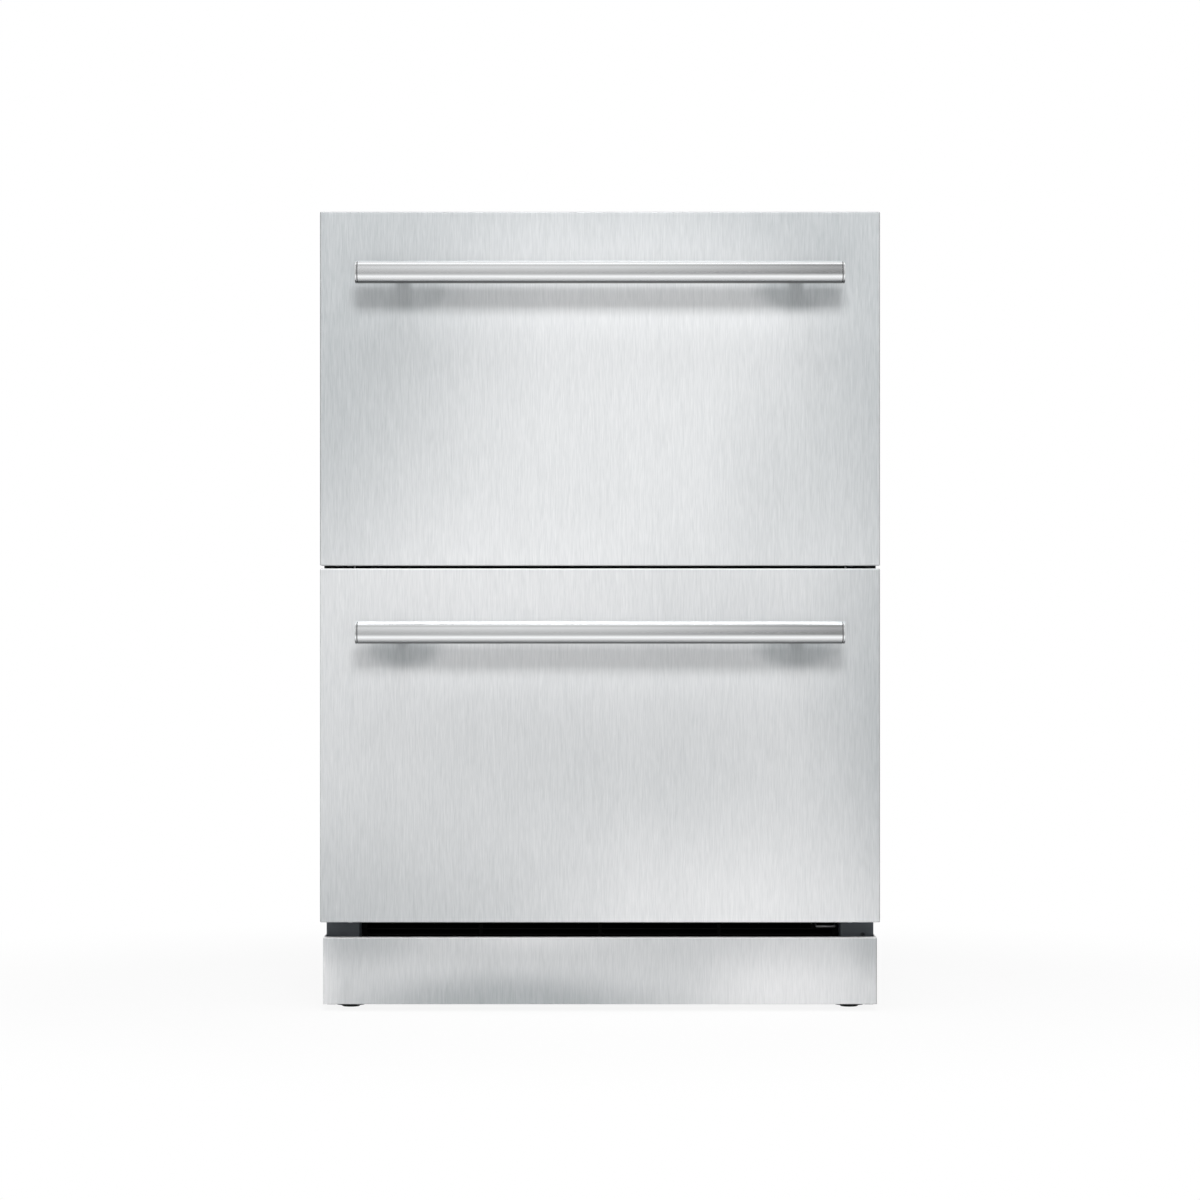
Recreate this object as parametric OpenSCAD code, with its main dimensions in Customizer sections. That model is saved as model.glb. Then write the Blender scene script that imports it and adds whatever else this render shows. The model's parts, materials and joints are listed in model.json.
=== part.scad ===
// Undercounter drawer refrigerator: two full-width drawers in an insulated cabinet, with
// the cooling machinery in a compartment at the lower rear and a toe kick below.
// Millimetres, X across, Y back, Z up. The floor is Z = 0 and the origin lies under the
// middle of the outline. Inside product() Y starts at the fronts' faces and runs back.

/* [Stack from the floor up] */
// Floor to the toe kick's lower edge
toe_clear = 7.5; // [6.5:0.5:12]
// Height of the toe kick
toe_h = 72.5; // [66:0.5:80]
// Height of the air slot above the toe kick
slot_h = 18; // [14:0.5:24]
// Height of each drawer front
front_h = 383; // [370:1:400]
// Gap between the two fronts
front_gap = 3; // [2.5:0.5:5]
// How far the cabinet's top lies below the upper front's top
top_reveal = 3; // [2:0.5:6]
// How far the lower front hangs below the cabinet
bottom_lap = 3; // [1:0.5:6]

/* [Plan size] */
// Width of the cabinet
body_w = 604; // [570:1:640]
// How far the fronts overhang the cabinet at each side
front_overhang = 1; // [0:0.5:3]
// Depth from the fronts' faces to the back
body_depth = 606; // [596:1:640]

/* [Drawer fronts] */
// Thickness of a drawer front
front_t = 40; // [36:1:46]
// Thickness of the steel skin
skin_t = 1; // [0.8:0.1:1.5]
// Depth of the skin's folded edges
skin_return = 24; // [18:1:30]
// Gap between the raised middle of the inner panel and the cabinet's face plane
boss_clear = 2; // [1.5:0.5:4]
// Inset of the raised middle from the opening, at its top and bottom
boss_inset = 8; // [6:1:12]
// Gap between the raised middle and the drawer's side plates
boss_side_gap = 12; // [8:1:20]

/* [Gaskets] */
// Width of the gasket
gasket_w = 17; // [13:1:18]
// Thickness of the closed gasket
gasket_t = 13.7; // [11:0.1:16]
// Gap between the closed gasket and the cabinet
gasket_clear = 0.3; // [0.2:0.1:0.5]
// Inset of the gasket from the front's sides
gasket_inset = 9; // [6:0.5:11]
// Inset of the gasket from the front's outer end
gasket_end_inset = 7; // [6:0.5:10]
// Inset of the gasket from the front's edge at the gap
gasket_gap_inset = 2.5; // [1.5:0.5:3]

/* [Handles] */
// Diameter of the bar
handle_d = 24; // [20:1:28]
// Wall of the bar's tube
handle_wall = 2; // [1.5:0.5:2.5]
// Room for fingers between the bar and the front
handle_gap = 33; // [28:1:40]
// Distance from a front's side to the end of the bar
handle_inset = 40.5; // [30:0.5:80]
// Depth of the bar's axis below the front's upper edge
handle_drop = 69; // [40:1:120]
// Thickness of an end cap's disc
cap_t = 2.6; // [2:0.1:4]
// Depth of an end cap's plug
cap_plug = 12; // [8:1:18]
// Chamfer round an end cap
cap_chamfer = 0.8; // [0.4:0.1:1.2]
// Distance from the end of the bar to a post's axis
post_inset = 50.5; // [30:0.5:90]
// Diameter of a post
post_d = 18; // [14:1:20]
// Diameter of the spigot that a post holds the bar with
spigot_d = 8; // [6:1:10]
// How far the spigot reaches inside the bar's wall
spigot_reach = 4; // [2:0.5:6]

/* [Cabinet] */
// Thickness of the outer sheets
sheet_t = 1.2; // [0.8:0.1:1.5]
// Thickness of the insulation
foam_t = 31; // [28:0.5:34]
// Thickness of the inner liner
liner_t = 2; // [1.5:0.5:3]
// Thickness of the face frame
frame_t = 1.5; // [1:0.1:2]
// Height of the rail between the drawers
rail_h = 44; // [43:1:50]
// Depth of the rail between the drawers
rail_depth = 50; // [30:1:70]
// Wall of the rail
rail_wall = 1.5; // [1:0.1:2.5]
// Depth of the machine compartment
machine_depth = 185; // [180:1:190]
// Height of the machine compartment's ceiling
machine_top = 290; // [282:1:300]
// Depth of the folded flanges that hold the rear cover
rear_flange = 20; // [16:1:24]

/* [Fasteners] */
// Diameter of a sheet screw's head
head_d = 9; // [8:0.5:10]
// Height of a screw's head
head_h = 1.6; // [1.2:0.1:2]
// Diameter of a sheet screw's shank
shank_d = 3.9; // [3:0.1:4.5]
// Length of a sheet screw below its head
shank_len = 9; // [6:1:12]
// Radial clearance of a screw in its hole
screw_clear = 0.25; // [0.15:0.05:0.4]
// Distance from a front's side to the screws under it
flange_screw_inset = 32; // [26:1:60]
// Thickness of those screws' heads
flange_head_h = 1.2; // [0.8:0.1:1.4]
// Diameter of a handle screw
handle_screw_d = 5; // [4:0.5:6]
// Length of a handle screw in its post
handle_screw_len = 14; // [10:1:18]
// Diameter of a handle screw's head
handle_head_d = 10; // [9:0.5:12]
// Height of a handle screw's head
handle_head_h = 3.2; // [2.5:0.1:4]

/* [Drawers] */
// Gap under and beside pieces that sit on each other with play
seat_gap = 0.2; // [0.1:0.05:0.3]
// Thickness of the drawer frame's plates
plate_t = 2; // [1.5:0.5:2.5]
// Height of the drawer frame's side plates
plate_h = 90; // [76:1:110]
// Width of the tabs that hold the frame to the front
tab_w = 16; // [14:1:18]
// Width of the ledges that carry the bin
ledge_w = 15; // [10:1:30]
// Height of the frame's rear bar
rear_bar_h = 40; // [24:1:60]
// Wall of a bin
bin_wall = 2.5; // [2:0.5:3.5]
// Radius of a bin's outer corners
bin_corner = 15; // [10:1:25]
// Width of a bin's rim
rim_w = 6; // [4:0.5:8]
// Gap between a bin and its side plates
bin_side_gap = 1.5; // [1:0.5:3]
// Height of a bin's base above the floor or rail below it
bin_lift = 12; // [8:1:16]
// Room above a bin's rim
bin_headroom = 16; // [12:1:24]
// Room behind a closed drawer
bin_rear_gap = 8; // [6:1:14]
// Thickness of the divider
divider_t = 2.5; // [2:0.5:4]
// Height of the divider's plate
divider_h = 210; // [140:5:225]
// Gap between the divider and the bin
divider_gap = 0.6; // [0.4:0.1:1]

/* [Slides] */
// Width of a closed slide
slide_w = 17.5; // [16.5:0.5:19]
// Height of a slide
slide_h = 45; // [40:1:50]
// Thickness of the slide's steel
slide_t = 1.5; // [1.2:0.1:1.8]
// Gap between two members
slide_clear = 0.4; // [0.3:0.05:0.5]
// Height of the slide's middle above the bin's base
slide_rise = 45; // [34:1:50]

/* [Base] */
// Setback of the toe kick behind the fronts
toe_setback = 20; // [12:1:26]
// Inset of the toe kick from the cabinet's sides
toe_inset = 1; // [0.5:0.5:3]
// Depth of the toe kick's folded sides
toe_return = 54; // [40:1:60]
// Depth of the toe kick's upper and lower folds
toe_fold = 14; // [8:1:18]
// Height of the base pan above the floor
pan_z = 16; // [13:0.5:20]
// Height of the base pan's rear flange
pan_flange = 24; // [20:1:30]
// Width of a foot housing
housing_w = 36; // [32:1:44]
// Depth of a foot housing
housing_depth = 60; // [50:1:70]
// Height of a front foot housing above the floor
housing_z = 9; // [8.6:0.1:11]
// Height of a rear foot housing
rear_housing_h = 62; // [54:1:80]
// Diameter of the hole in the right-hand housing
housing_hole_d = 5; // [4:0.5:6]
// Distance from the cabinet's side to a foot's axis
foot_inset = 28; // [22:0.5:30]
// Distance from the housing's face to a foot's axis
foot_setback = 20.5; // [18:0.5:26]
// Diameter of a foot's pad
foot_d = 33; // [28:1:40]
// Thickness of a foot's pad, with its hexagon
foot_h = 8; // [7:0.5:8.4]
// Width of a foot's hexagon across its corners
foot_hex = 26; // [22:1:28]
// Diameter of a foot's stem
stem_d = 12; // [10:1:13]
// Length of a foot's stem
stem_len = 58; // [50:1:66]
// Radial gap between a stem and its housing
stem_gap = 0.3; // [0.25:0.05:0.4]
// Distance from the housing's face to the intake grille
grille_setback = 39; // [34:1:44]
// Thickness of the intake grille
grille_t = 3; // [2:0.5:4]
// Number of louvres in the intake grille
louvres = 6; // [4:1:8]
// Diameter of the grille's wire clip
wire_d = 2; // [1.6:0.2:2.4]
// Width of the wire clip
clip_w = 21; // [16:1:30]

/* [Top brackets] */
// Distance from the cabinet's side to the hole for a worktop screw
bracket_inset = 52; // [40:1:90]
// Width of a bracket
bracket_w = 40; // [24:1:60]
// Length of a bracket
bracket_len = 68; // [50:1:90]
// Thickness of a bracket
bracket_t = 1.5; // [1:0.1:1.8]
// How far a bracket stands in front of the cabinet's face
bracket_reach = 11.5; // [10:0.5:12]
// Diameter of the hole for a worktop screw
bracket_hole_d = 5; // [4:0.5:6]

/* [Cooling machinery] */
// Diameter of the compressor
compressor_d = 140; // [110:1:146]
// Height of the compressor's shell
compressor_h = 148; // [130:1:150]
// Distance from the cabinet's right side to the compressor's axis
compressor_inset = 152; // [125:1:160]
// Radius round the compressor's ends
compressor_round = 18; // [10:1:26]
// Height of the compressor's grommets
grommet_h = 8; // [6:1:12]
// Diameter of a grommet
grommet_d = 20; // [14:1:24]
// Side of the compressor's foot plate
foot_plate = 120; // [110:1:140]
// Thickness of the compressor's foot plate
foot_plate_t = 3; // [2:0.5:4]
// Distance from the cabinet's left side to the condenser
condenser_inset = 92; // [86:1:120]
// Height of the condenser
condenser_h = 150; // [110:1:155]
// Gap between the condenser and the fan shroud
condenser_gap = 40; // [34:1:46]
// Number of condenser fins
condenser_fins = 16; // [8:1:22]
// Number of tubes through each heat exchanger
coil_tubes = 5; // [3:1:6]
// Thickness of a fin
fin_t = 0.8; // [0.5:0.1:1.2]
// Diameter of the condenser fan
cond_fan_d = 132; // [110:1:136]
// Distance from the middle to the fan shroud, on the left
shroud_x = 30; // [26:1:34]
// Height of the condenser fan's axis
cond_fan_z = 108; // [100:1:112]
// Diameter of the condenser fan's motor
cond_motor_d = 50; // [40:1:60]
// Length of the condenser fan's motor
cond_motor_len = 34; // [24:1:36]
// Diameter of a refrigerant line
line_d = 8; // [6:1:9]
// Diameter of the filter drier
drier_d = 18; // [14:1:22]
// Width of the drip tray
tray_w = 120; // [90:1:130]
// Depth of the drip tray
tray_depth = 110; // [90:1:130]
// Height of the drip tray
tray_h = 26; // [20:1:32]
// Wall of the drip tray
tray_wall = 2; // [1.5:0.5:3]
// Diameter of the drain tube
drain_d = 12; // [8:1:14]

// Width of the control board's box
board_w = 54; // [40:1:60]
// Depth of the control board's box
board_depth = 110; // [80:1:115]
// Height of the control board's box
board_h = 160; // [100:1:165]
// Wall of the control board's box
board_wall = 2; // [1.5:0.5:3]

/* [Air inside] */
// Depth of the evaporator's cover
cover_depth = 68; // [64:1:76]
// Width of the evaporator's cover
cover_w = 400; // [370:1:460]
// Wall of the evaporator's cover
cover_wall = 2; // [1.5:0.5:3]
// Width of the evaporator
evap_w = 340; // [280:1:350]
// Height of the evaporator
evap_h = 200; // [150:1:220]
// Number of evaporator fins
evap_fins = 18; // [10:1:24]
// Height of the evaporator above the liner's step
evap_lift = 34; // [24:1:50]
// Diameter of the evaporator fan
evap_fan_d = 104; // [80:1:110]
// Height of the evaporator fan's axis below the ceiling
evap_fan_drop = 130; // [100:1:150]
// Diameter of the evaporator fan's motor
evap_motor_d = 44; // [36:1:56]
// Side of the motor's mounting plate
motor_plate = 64; // [60:1:80]

/* [Controls and light] */
// Width of the control panel
panel_w = 200; // [160:1:240]
// Height of the control panel
panel_h = 26; // [22:1:32]
// Depth of the control panel
panel_depth = 45; // [36:1:60]
// Distance from the cabinet's face to the control panel
panel_setback = 10; // [6:1:14]
// Width of the display window
window_w = 62; // [40:1:70]
// Height of the display window
window_h = 14; // [10:1:18]
// Thickness of the display window
window_t = 2; // [1.5:0.5:3]
// Diameter of a button
button_d = 9; // [7:0.5:12]
// How far a button stands out of the panel
button_out = 2.5; // [2:0.5:4]
// Distance between the buttons
button_pitch = 20; // [16:1:24]
// Gap round a button
button_gap = 0.3; // [0.2:0.05:0.5]
// Length of the lamp
lamp_w = 300; // [200:10:400]
// Depth of the lamp
lamp_depth = 30; // [20:1:40]
// Thickness of the lamp
lamp_t = 6; // [4:0.5:8]
// Distance from the fronts' faces to the lamp
lamp_y = 250; // [180:5:400]

/* [Power inlet] */
// Distance from the cabinet's left side to the mains inlet
inlet_inset = 62; // [50:1:80]
// Height of the inlet
inlet_z = 130; // [110:1:160]
// Width of the inlet's flange
inlet_flange_w = 50; // [48:1:54]
// Height of the inlet's flange
inlet_flange_h = 24; // [23:1:30]
// Width of the inlet's opening
inlet_w = 24; // [23.5:0.5:26]
// Height of the inlet's opening
inlet_h = 16.4; // [16:0.1:18]
// Depth of the inlet's opening
inlet_depth = 15; // [14:0.5:18]

/* [Hidden] */
$fn = 48;

// Gap round lines and other pieces that pass through a hole
service_gap = 0.3;

// The two drawers
LOWER = 0;
UPPER = 1;

// Heights
toe_top = toe_clear + toe_h;
lower_z = toe_top + slot_h;
height = lower_z + 2 * front_h + front_gap;
cab_z0 = lower_z + bottom_lap;
cab_z1 = height - top_reveal;
wall = sheet_t + foam_t + liner_t;
floor_z = cab_z0 + wall;
ceil_z = cab_z1 - wall;
rail_z = lower_z + front_h + front_gap / 2;
rail_z0 = rail_z - rail_h / 2;
rail_z1 = rail_z + rail_h / 2;
step_z = machine_top + wall;
pan_top = pan_z + sheet_t;

// Depths behind the fronts' faces
handle_y = -handle_gap - handle_d / 2;
y_front = (handle_gap + handle_d - body_depth) / 2;
face_y = front_t + gasket_t + gasket_clear;
shell_y = face_y + frame_t;
back_y = body_depth - head_h;
back_in = back_y - sheet_t;
cav_y = back_y - wall;
mach_y = body_depth - machine_depth;
step_y = mach_y - wall;
cover_y = cav_y - cover_depth;

// Widths
front_w = body_w + 2 * front_overhang;
handle_len = front_w - 2 * handle_inset;
post_pitch = handle_len - 2 * post_inset;
flange_screw_x = front_w / 2 - flange_screw_inset;
toe_w = body_w - 2 * toe_inset;
half_w = body_w / 2;
bracket_x = half_w - bracket_inset;
in_x = half_w - sheet_t;
liner_x = in_x - foam_t;
cav_x = liner_x - liner_t;
slide_x = cav_x - slide_w;
plate_x = slide_x - seat_gap - plate_t;
bin_x = plate_x - bin_side_gap;
boss_x = plate_x - boss_side_gap;

// Values of each drawer
function front_z(d) = lower_z + d * (front_h + front_gap);
function opening_z(d) = d == UPPER ? [rail_z1, ceil_z] : [floor_z, rail_z0];
function gasket_z(d) = [
    front_z(d) + (d == UPPER ? gasket_gap_inset : gasket_end_inset),
    front_z(d) + front_h - (d == UPPER ? gasket_end_inset : gasket_gap_inset)
];
function bin_z(d) = [
    opening_z(d)[0] + bin_lift,
    opening_z(d)[1] - bin_headroom - (d == UPPER ? panel_h : 0)
];
bin_y0 = face_y + rim_w;
function bin_y1(d) = (d == UPPER ? cover_y : step_y) - bin_rear_gap - rim_w;
function slide_y(d) = [bin_y0, bin_y1(d) + plate_t];
function slide_z(d) = bin_z(d)[0] + slide_rise;
function handle_z(d) = front_z(d) + front_h - handle_drop;

// Feet
housing_back = 0.5;
rear_housing_depth = 40;
foot_x = half_w - foot_inset;
housing_x1 = toe_w / 2 - sheet_t - seat_gap;
housing_x0 = housing_x1 - housing_w;
housing_y = shell_y + housing_back;
front_foot_y = housing_y + foot_setback;
rear_housing_y = back_in - rear_housing_depth - 10.5;
rear_foot_y = rear_housing_y + foot_setback;
pan_y = housing_y + housing_depth;
grille_y = housing_y + grille_setback;

// Machinery
coil_lift = 22;
shroud_over = 11;
pipe_over = 12;
tube_out = 6;
end_plate_t = 2;
ring_len = 20;
motor_gap = 8;
bar_t = 3;
compressor_x = half_w - compressor_inset;
inlet_x = half_w - inlet_inset;
motor_x = -shroud_x + ring_len + motor_gap + bar_t;
line_x = (motor_x + cond_motor_len + compressor_x - compressor_d / 2) / 2;
liquid_x = shroud_x + condenser_gap / 2;
mach_mid = (mach_y + back_in) / 2;
plate_z = pan_top + grommet_h + seat_gap;
comp_top = plate_z + compressor_h;
line_y = cav_y - cover_depth / 2;
coil_z0 = pan_top + coil_lift;
coil_z1 = coil_z0 + condenser_h;
shroud_top = coil_z1 + shroud_over;
pipe_z = shroud_top + pipe_over;
evap_z0 = step_z + evap_lift;
evap_fan_z = ceil_z - evap_fan_drop;

// Screws in the back and the rear cover, as [x, z]
screw_edge = 10;
back_screws = [
    for (s = [-1, 1], z = [machine_top + 2 * screw_edge, rail_z, cab_z1 - 2 * screw_edge])
        [s * (in_x - screw_edge), z],
    [0, cab_z1 - 2 * screw_edge]
];
cover_screws = [
    for (x = [-0.9, -0.3, 0.3, 0.9], z = [pan_top + screw_edge + 2, machine_top - screw_edge])
        [x * in_x, z]
];
// Screws that hold the drawer frame to the front, as heights above the bin's base
tab_screws = [18, 62];
tab_screw_x = plate_x + tab_w / 2 + plate_t;
flange_screw_y = skin_return / 2;

// Places everything in the frame of the whole outline
module product() translate([0, y_front, 0]) children();

// A block between two corners, each axis given as [low, high]
module block(x, y, z)
    translate([x[0], y[0], z[0]]) cube([x[1] - x[0], y[1] - y[0], z[1] - z[0]]);

// The piece and its mirror image on the other side
module pair() {
    children();
    mirror([1, 0, 0]) children();
}

// Rods along each axis from a start point
module rod_x(p, d, len) translate(p) rotate([0, 90, 0]) cylinder(d = d, h = len);
module rod_y(p, d, len) translate(p) rotate([-90, 0, 0]) cylinder(d = d, h = len);
module rod_z(p, d, len) translate(p) cylinder(d = d, h = len);

// An outline in Y and Z, drawn out along X
module profile_x(x, points)
    translate([x[0], 0, 0]) rotate([90, 0, 90]) linear_extrude(x[1] - x[0]) polygon(points);

// An outline in X and Z, drawn out along Y
module profile_y(y, points)
    translate([0, y[1], 0]) rotate([90, 0, 0]) linear_extrude(y[1] - y[0]) polygon(points);

// A block with upright rounded corners
module rounded_block(x, y, z, r) {
    block([x[0] + r, x[1] - r], y, z);
    block(x, [y[0] + r, y[1] - r], z);
    for (cx = [x[0] + r, x[1] - r], cy = [y[0] + r, y[1] - r])
        rod_z([cx, cy, z[0]], 2 * r, z[1] - z[0]);
}

// A tube route of straight runs along the axes, with round corners
module pipe(d, p) {
    for (i = [1 : len(p) - 1]) {
        run = p[i] - p[i - 1];
        low = [for (k = [0 : 2]) min(p[i][k], p[i - 1][k])];
        if (run[0] != 0) rod_x(low, d, abs(run[0]));
        if (run[1] != 0) rod_y(low, d, abs(run[1]));
        if (run[2] != 0) rod_z(low, d, abs(run[2]));
    }
    for (i = [1 : len(p) - 2]) translate(p[i]) sphere(d = d);
}

// A pan-head screw with its head at the origin's +Z side and its shank below
module screw(head, head_t, shank, len) {
    cylinder(d = head, h = head_t);
    translate([0, 0, -len]) cylinder(d = shank, h = len);
}

// ---- Cabinet ----

// Outline of a side panel: notched for the toe space at the lower front
side_outline = [
    [shell_y, cab_z0], [pan_y, cab_z0], [pan_y, pan_z], [back_y, pan_z],
    [back_y, cab_z1], [shell_y, cab_z1]
];

module side_panel_left() color("dimgray") profile_x([-half_w, -in_x], side_outline);
module side_panel_right() color("dimgray") profile_x([in_x, half_w], side_outline);

module top_panel() color("dimgray")
    block([-in_x, in_x], [shell_y, back_y], [cab_z1 - sheet_t, cab_z1]);

module back_panel() color("silver") difference() {
    block([-in_x, in_x], [back_in, back_y], [machine_top, cab_z1 - sheet_t]);
    screw_holes_back();
}

module screw_holes_back()
    for (s = back_screws)
        rod_y([s[0], back_in - shank_len, s[1]], shank_d + 2 * screw_clear, 2 * shank_len);

// One bent sheet: the cabinet's underside, the machine compartment's front and its ceiling
module underside_panel() color("silver") difference() {
    union() {
        profile_x([-in_x, in_x], [
            [shell_y, cab_z0], [mach_y, cab_z0], [mach_y, machine_top],
            [back_in, machine_top], [back_in, machine_top + sheet_t],
            [mach_y - sheet_t, machine_top + sheet_t],
            [mach_y - sheet_t, cab_z0 + sheet_t], [shell_y, cab_z0 + sheet_t]
        ]);
        block([-in_x, in_x], [back_in - sheet_t, back_in], [machine_top - rear_flange, machine_top]);
    }
    service_holes();
    cover_screw_holes();
}

module face_frame() color("silver") difference() {
    block([-half_w, half_w], [face_y, shell_y], [cab_z0, cab_z1]);
    block([-liner_x, liner_x], [face_y - 1, shell_y + 1],
          [floor_z - liner_t, ceil_z + liner_t]);
}

// Outline of the cold space, widened all round by g, with its front at y
function cold_outline(y, g) = [
    [y, floor_z - g], [step_y + g, floor_z - g], [step_y + g, step_z - g],
    [cav_y + g, step_z - g], [cav_y + g, ceil_z + g], [y, ceil_z + g]
];

module inner_liner() color("white") difference() {
    profile_x([-liner_x, liner_x], cold_outline(face_y, liner_t));
    profile_x([-cav_x, cav_x], cold_outline(face_y - 1, 0));
    service_holes();
}

module insulation_foam() color("wheat") difference() {
    profile_x([-in_x, in_x], [
        [shell_y, cab_z0 + sheet_t], [mach_y - sheet_t, cab_z0 + sheet_t],
        [mach_y - sheet_t, machine_top + sheet_t], [back_in, machine_top + sheet_t],
        [back_in, cab_z1 - sheet_t], [shell_y, cab_z1 - sheet_t]
    ]);
    profile_x([-liner_x, liner_x], cold_outline(face_y - 1, liner_t));
    service_holes();
    screw_holes_back();
}

// Where the refrigerant lines and the drain pass from the machine compartment, up through the
// bottom of the evaporator's cover
module service_holes() {
    hole_z = machine_top - 1;
    hole_h = wall + cover_gap + cover_wall + 2;
    rod_z([line_x, line_y, hole_z], line_d + 2 * service_gap, hole_h);
    rod_z([-liquid_x, line_y, hole_z], line_d + 2 * service_gap, hole_h);
    rod_z([compressor_x, line_y, hole_z], drain_d + 2 * service_gap, hole_h);
}

module centre_rail() color("silver") difference() {
    block([-cav_x, cav_x], [face_y, face_y + rail_depth], [rail_z0, rail_z1]);
    block([-cav_x - 1, cav_x + 1], [face_y + rail_wall, face_y + rail_depth - rail_wall],
          [rail_z0 + rail_wall, rail_z1 - rail_wall]);
}

bracket_z1 = cab_z1 + bracket_t;
module worktop_brackets() color("silver") pair() difference() {
    block([bracket_x - bracket_w / 2, bracket_x + bracket_w / 2],
          [face_y - bracket_reach, face_y - bracket_reach + bracket_len], [cab_z1, bracket_z1]);
    rod_z([bracket_x, face_y - bracket_reach / 2, cab_z1 - 1],
          bracket_hole_d, bracket_t + 2);
}

// ---- Base ----

module base_pan() color("silver") difference() {
    union() {
        block([-in_x, in_x], [pan_y, back_in], [pan_z, pan_top]);
        block([-in_x, in_x], [back_in - sheet_t, back_in], [pan_top, pan_top + pan_flange]);
    }
    pair() rod_z([foot_x, rear_foot_y, pan_z - 1], stem_d + 4, sheet_t + 2);
    cover_screw_holes();
    pair() for (i = [1 : pan_slots]) {
        x = i * pan_slot_pitch;
        block([x - pan_slot_w / 2, x + pan_slot_w / 2],
              [pan_y + pan_slot_pitch, pan_y + pan_slot_pitch + pan_slot_len],
              [pan_z - 1, pan_top + 1]);
    }
}
pan_slots = 6;
pan_slot_pitch = 40;
pan_slot_w = 10;
pan_slot_len = 180;

module cover_screw_holes()
    for (s = cover_screws)
        rod_y([s[0], back_in - 2 * sheet_t, s[1]], shank_d + 2 * screw_clear, 4 * sheet_t);

module machine_cover() color("silver") difference() {
    block([-in_x, in_x], [back_in, back_y], [pan_top, machine_top]);
    cover_screw_holes();
    inlet_body(seat_gap, [back_in - 1, back_y + 1]);
    for (row = [0, 1], i = [0 : vent_slots - 1])
        rear_slot(vent_x0 + i * vent_pitch, vent_z0 + row * (vent_len + 2 * vent_w));
}
vent_slots = 24;
vent_pitch = 16;
vent_w = 7;
vent_len = 78;
vent_x0 = -150;
vent_z0 = 66;

// An upright slot with round ends
module rear_slot(x, z) {
    block([x - vent_w / 2, x + vent_w / 2], [back_in - 1, back_y + 1], [z, z + vent_len]);
    for (end = [z, z + vent_len]) rod_y([x, back_in - 1, end], vent_w, sheet_t + 2);
}

module cabinet_screws() color("lightgray") {
    for (s = concat(back_screws, cover_screws))
        translate([s[0], back_y, s[1]]) rotate([-90, 0, 0])
            screw(head_d, head_h, shank_d, shank_len);
}

module foot_housings() color("darkslategray") {
    difference() {
        front_housing();
        rod_y([housing_x1 - hole_inset, housing_y - 1, toe_top], housing_hole_d, hole_depth + 1);
    }
    mirror([1, 0, 0]) front_housing();
    pair() difference() {
        block([housing_x0, housing_x1], [rear_housing_y, rear_housing_y + rear_housing_depth],
              [pan_top, pan_top + rear_housing_h]);
        stem_bore(rear_foot_y);
    }
}

module front_housing() difference() {
    union() {
        block([housing_x0, housing_x1], [housing_y, pan_y], [housing_z, cab_z0]);
        block([housing_x1 - skid_w, housing_x1], [housing_y + 2, pan_y - 16],
              [housing_z - skid_h, housing_z]);
    }
    stem_bore(front_foot_y);
    rod_z([foot_x, front_foot_y, 0], foot_d + 2, housing_z);
}
skid_w = 10;
skid_h = 5.5;
hole_inset = 12;
hole_depth = 10;

module stem_bore(y)
    rod_z([foot_x, y, -1], stem_d + 2 * stem_gap, foot_h + stem_len + 4);

// A levelling foot: pad, hexagon and threaded stem
module foot(x, y) translate([x, y, 0]) {
    rotate_extrude() polygon([
        [0, 0], [foot_d / 2 - 1, 0], [foot_d / 2, 1], [foot_d / 2, foot_h / 2 - 1],
        [foot_d / 2 - 1, foot_h / 2], [0, foot_h / 2]
    ]);
    cylinder(d = foot_hex, h = foot_h, $fn = 6);
    cylinder(d = stem_d, h = foot_h + stem_len);
}
module foot_front_left() color("dimgray") foot(-foot_x, front_foot_y);
module foot_front_right() color("dimgray") foot(foot_x, front_foot_y);
module foot_rear_left() color("dimgray") foot(-foot_x, rear_foot_y);
module foot_rear_right() color("dimgray") foot(foot_x, rear_foot_y);

// Folded steel tray, open at the back
module toe_kick() color("silver") difference() {
    block([-toe_w / 2, toe_w / 2], [toe_setback, toe_setback + toe_return], [toe_clear, toe_top]);
    block([-toe_w / 2 + sheet_t, toe_w / 2 - sheet_t],
          [toe_setback + sheet_t, toe_setback + toe_return + 1],
          [toe_clear + sheet_t, toe_top - sheet_t]);
    block([-toe_w / 2 + sheet_t, toe_w / 2 - sheet_t],
          [toe_setback + toe_fold, toe_setback + toe_return + 1],
          [toe_clear - 1, toe_top + 1]);
}

// Folded brackets between the foot housings and the toe kick
bracket_y0 = toe_setback + sheet_t;
toe_bracket_z = [toe_clear + toe_h / 3, toe_top - toe_h / 6];
module toe_kick_brackets() color("silver") pair() {
    block([housing_x0, housing_x1 - 2], [bracket_y0, bracket_y0 + frame_t], toe_bracket_z);
    block([housing_x0, housing_x0 + frame_t], [bracket_y0, housing_y], toe_bracket_z);
    block([housing_x0, housing_x1 - 2], [housing_y - frame_t, housing_y], toe_bracket_z);
}

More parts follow.
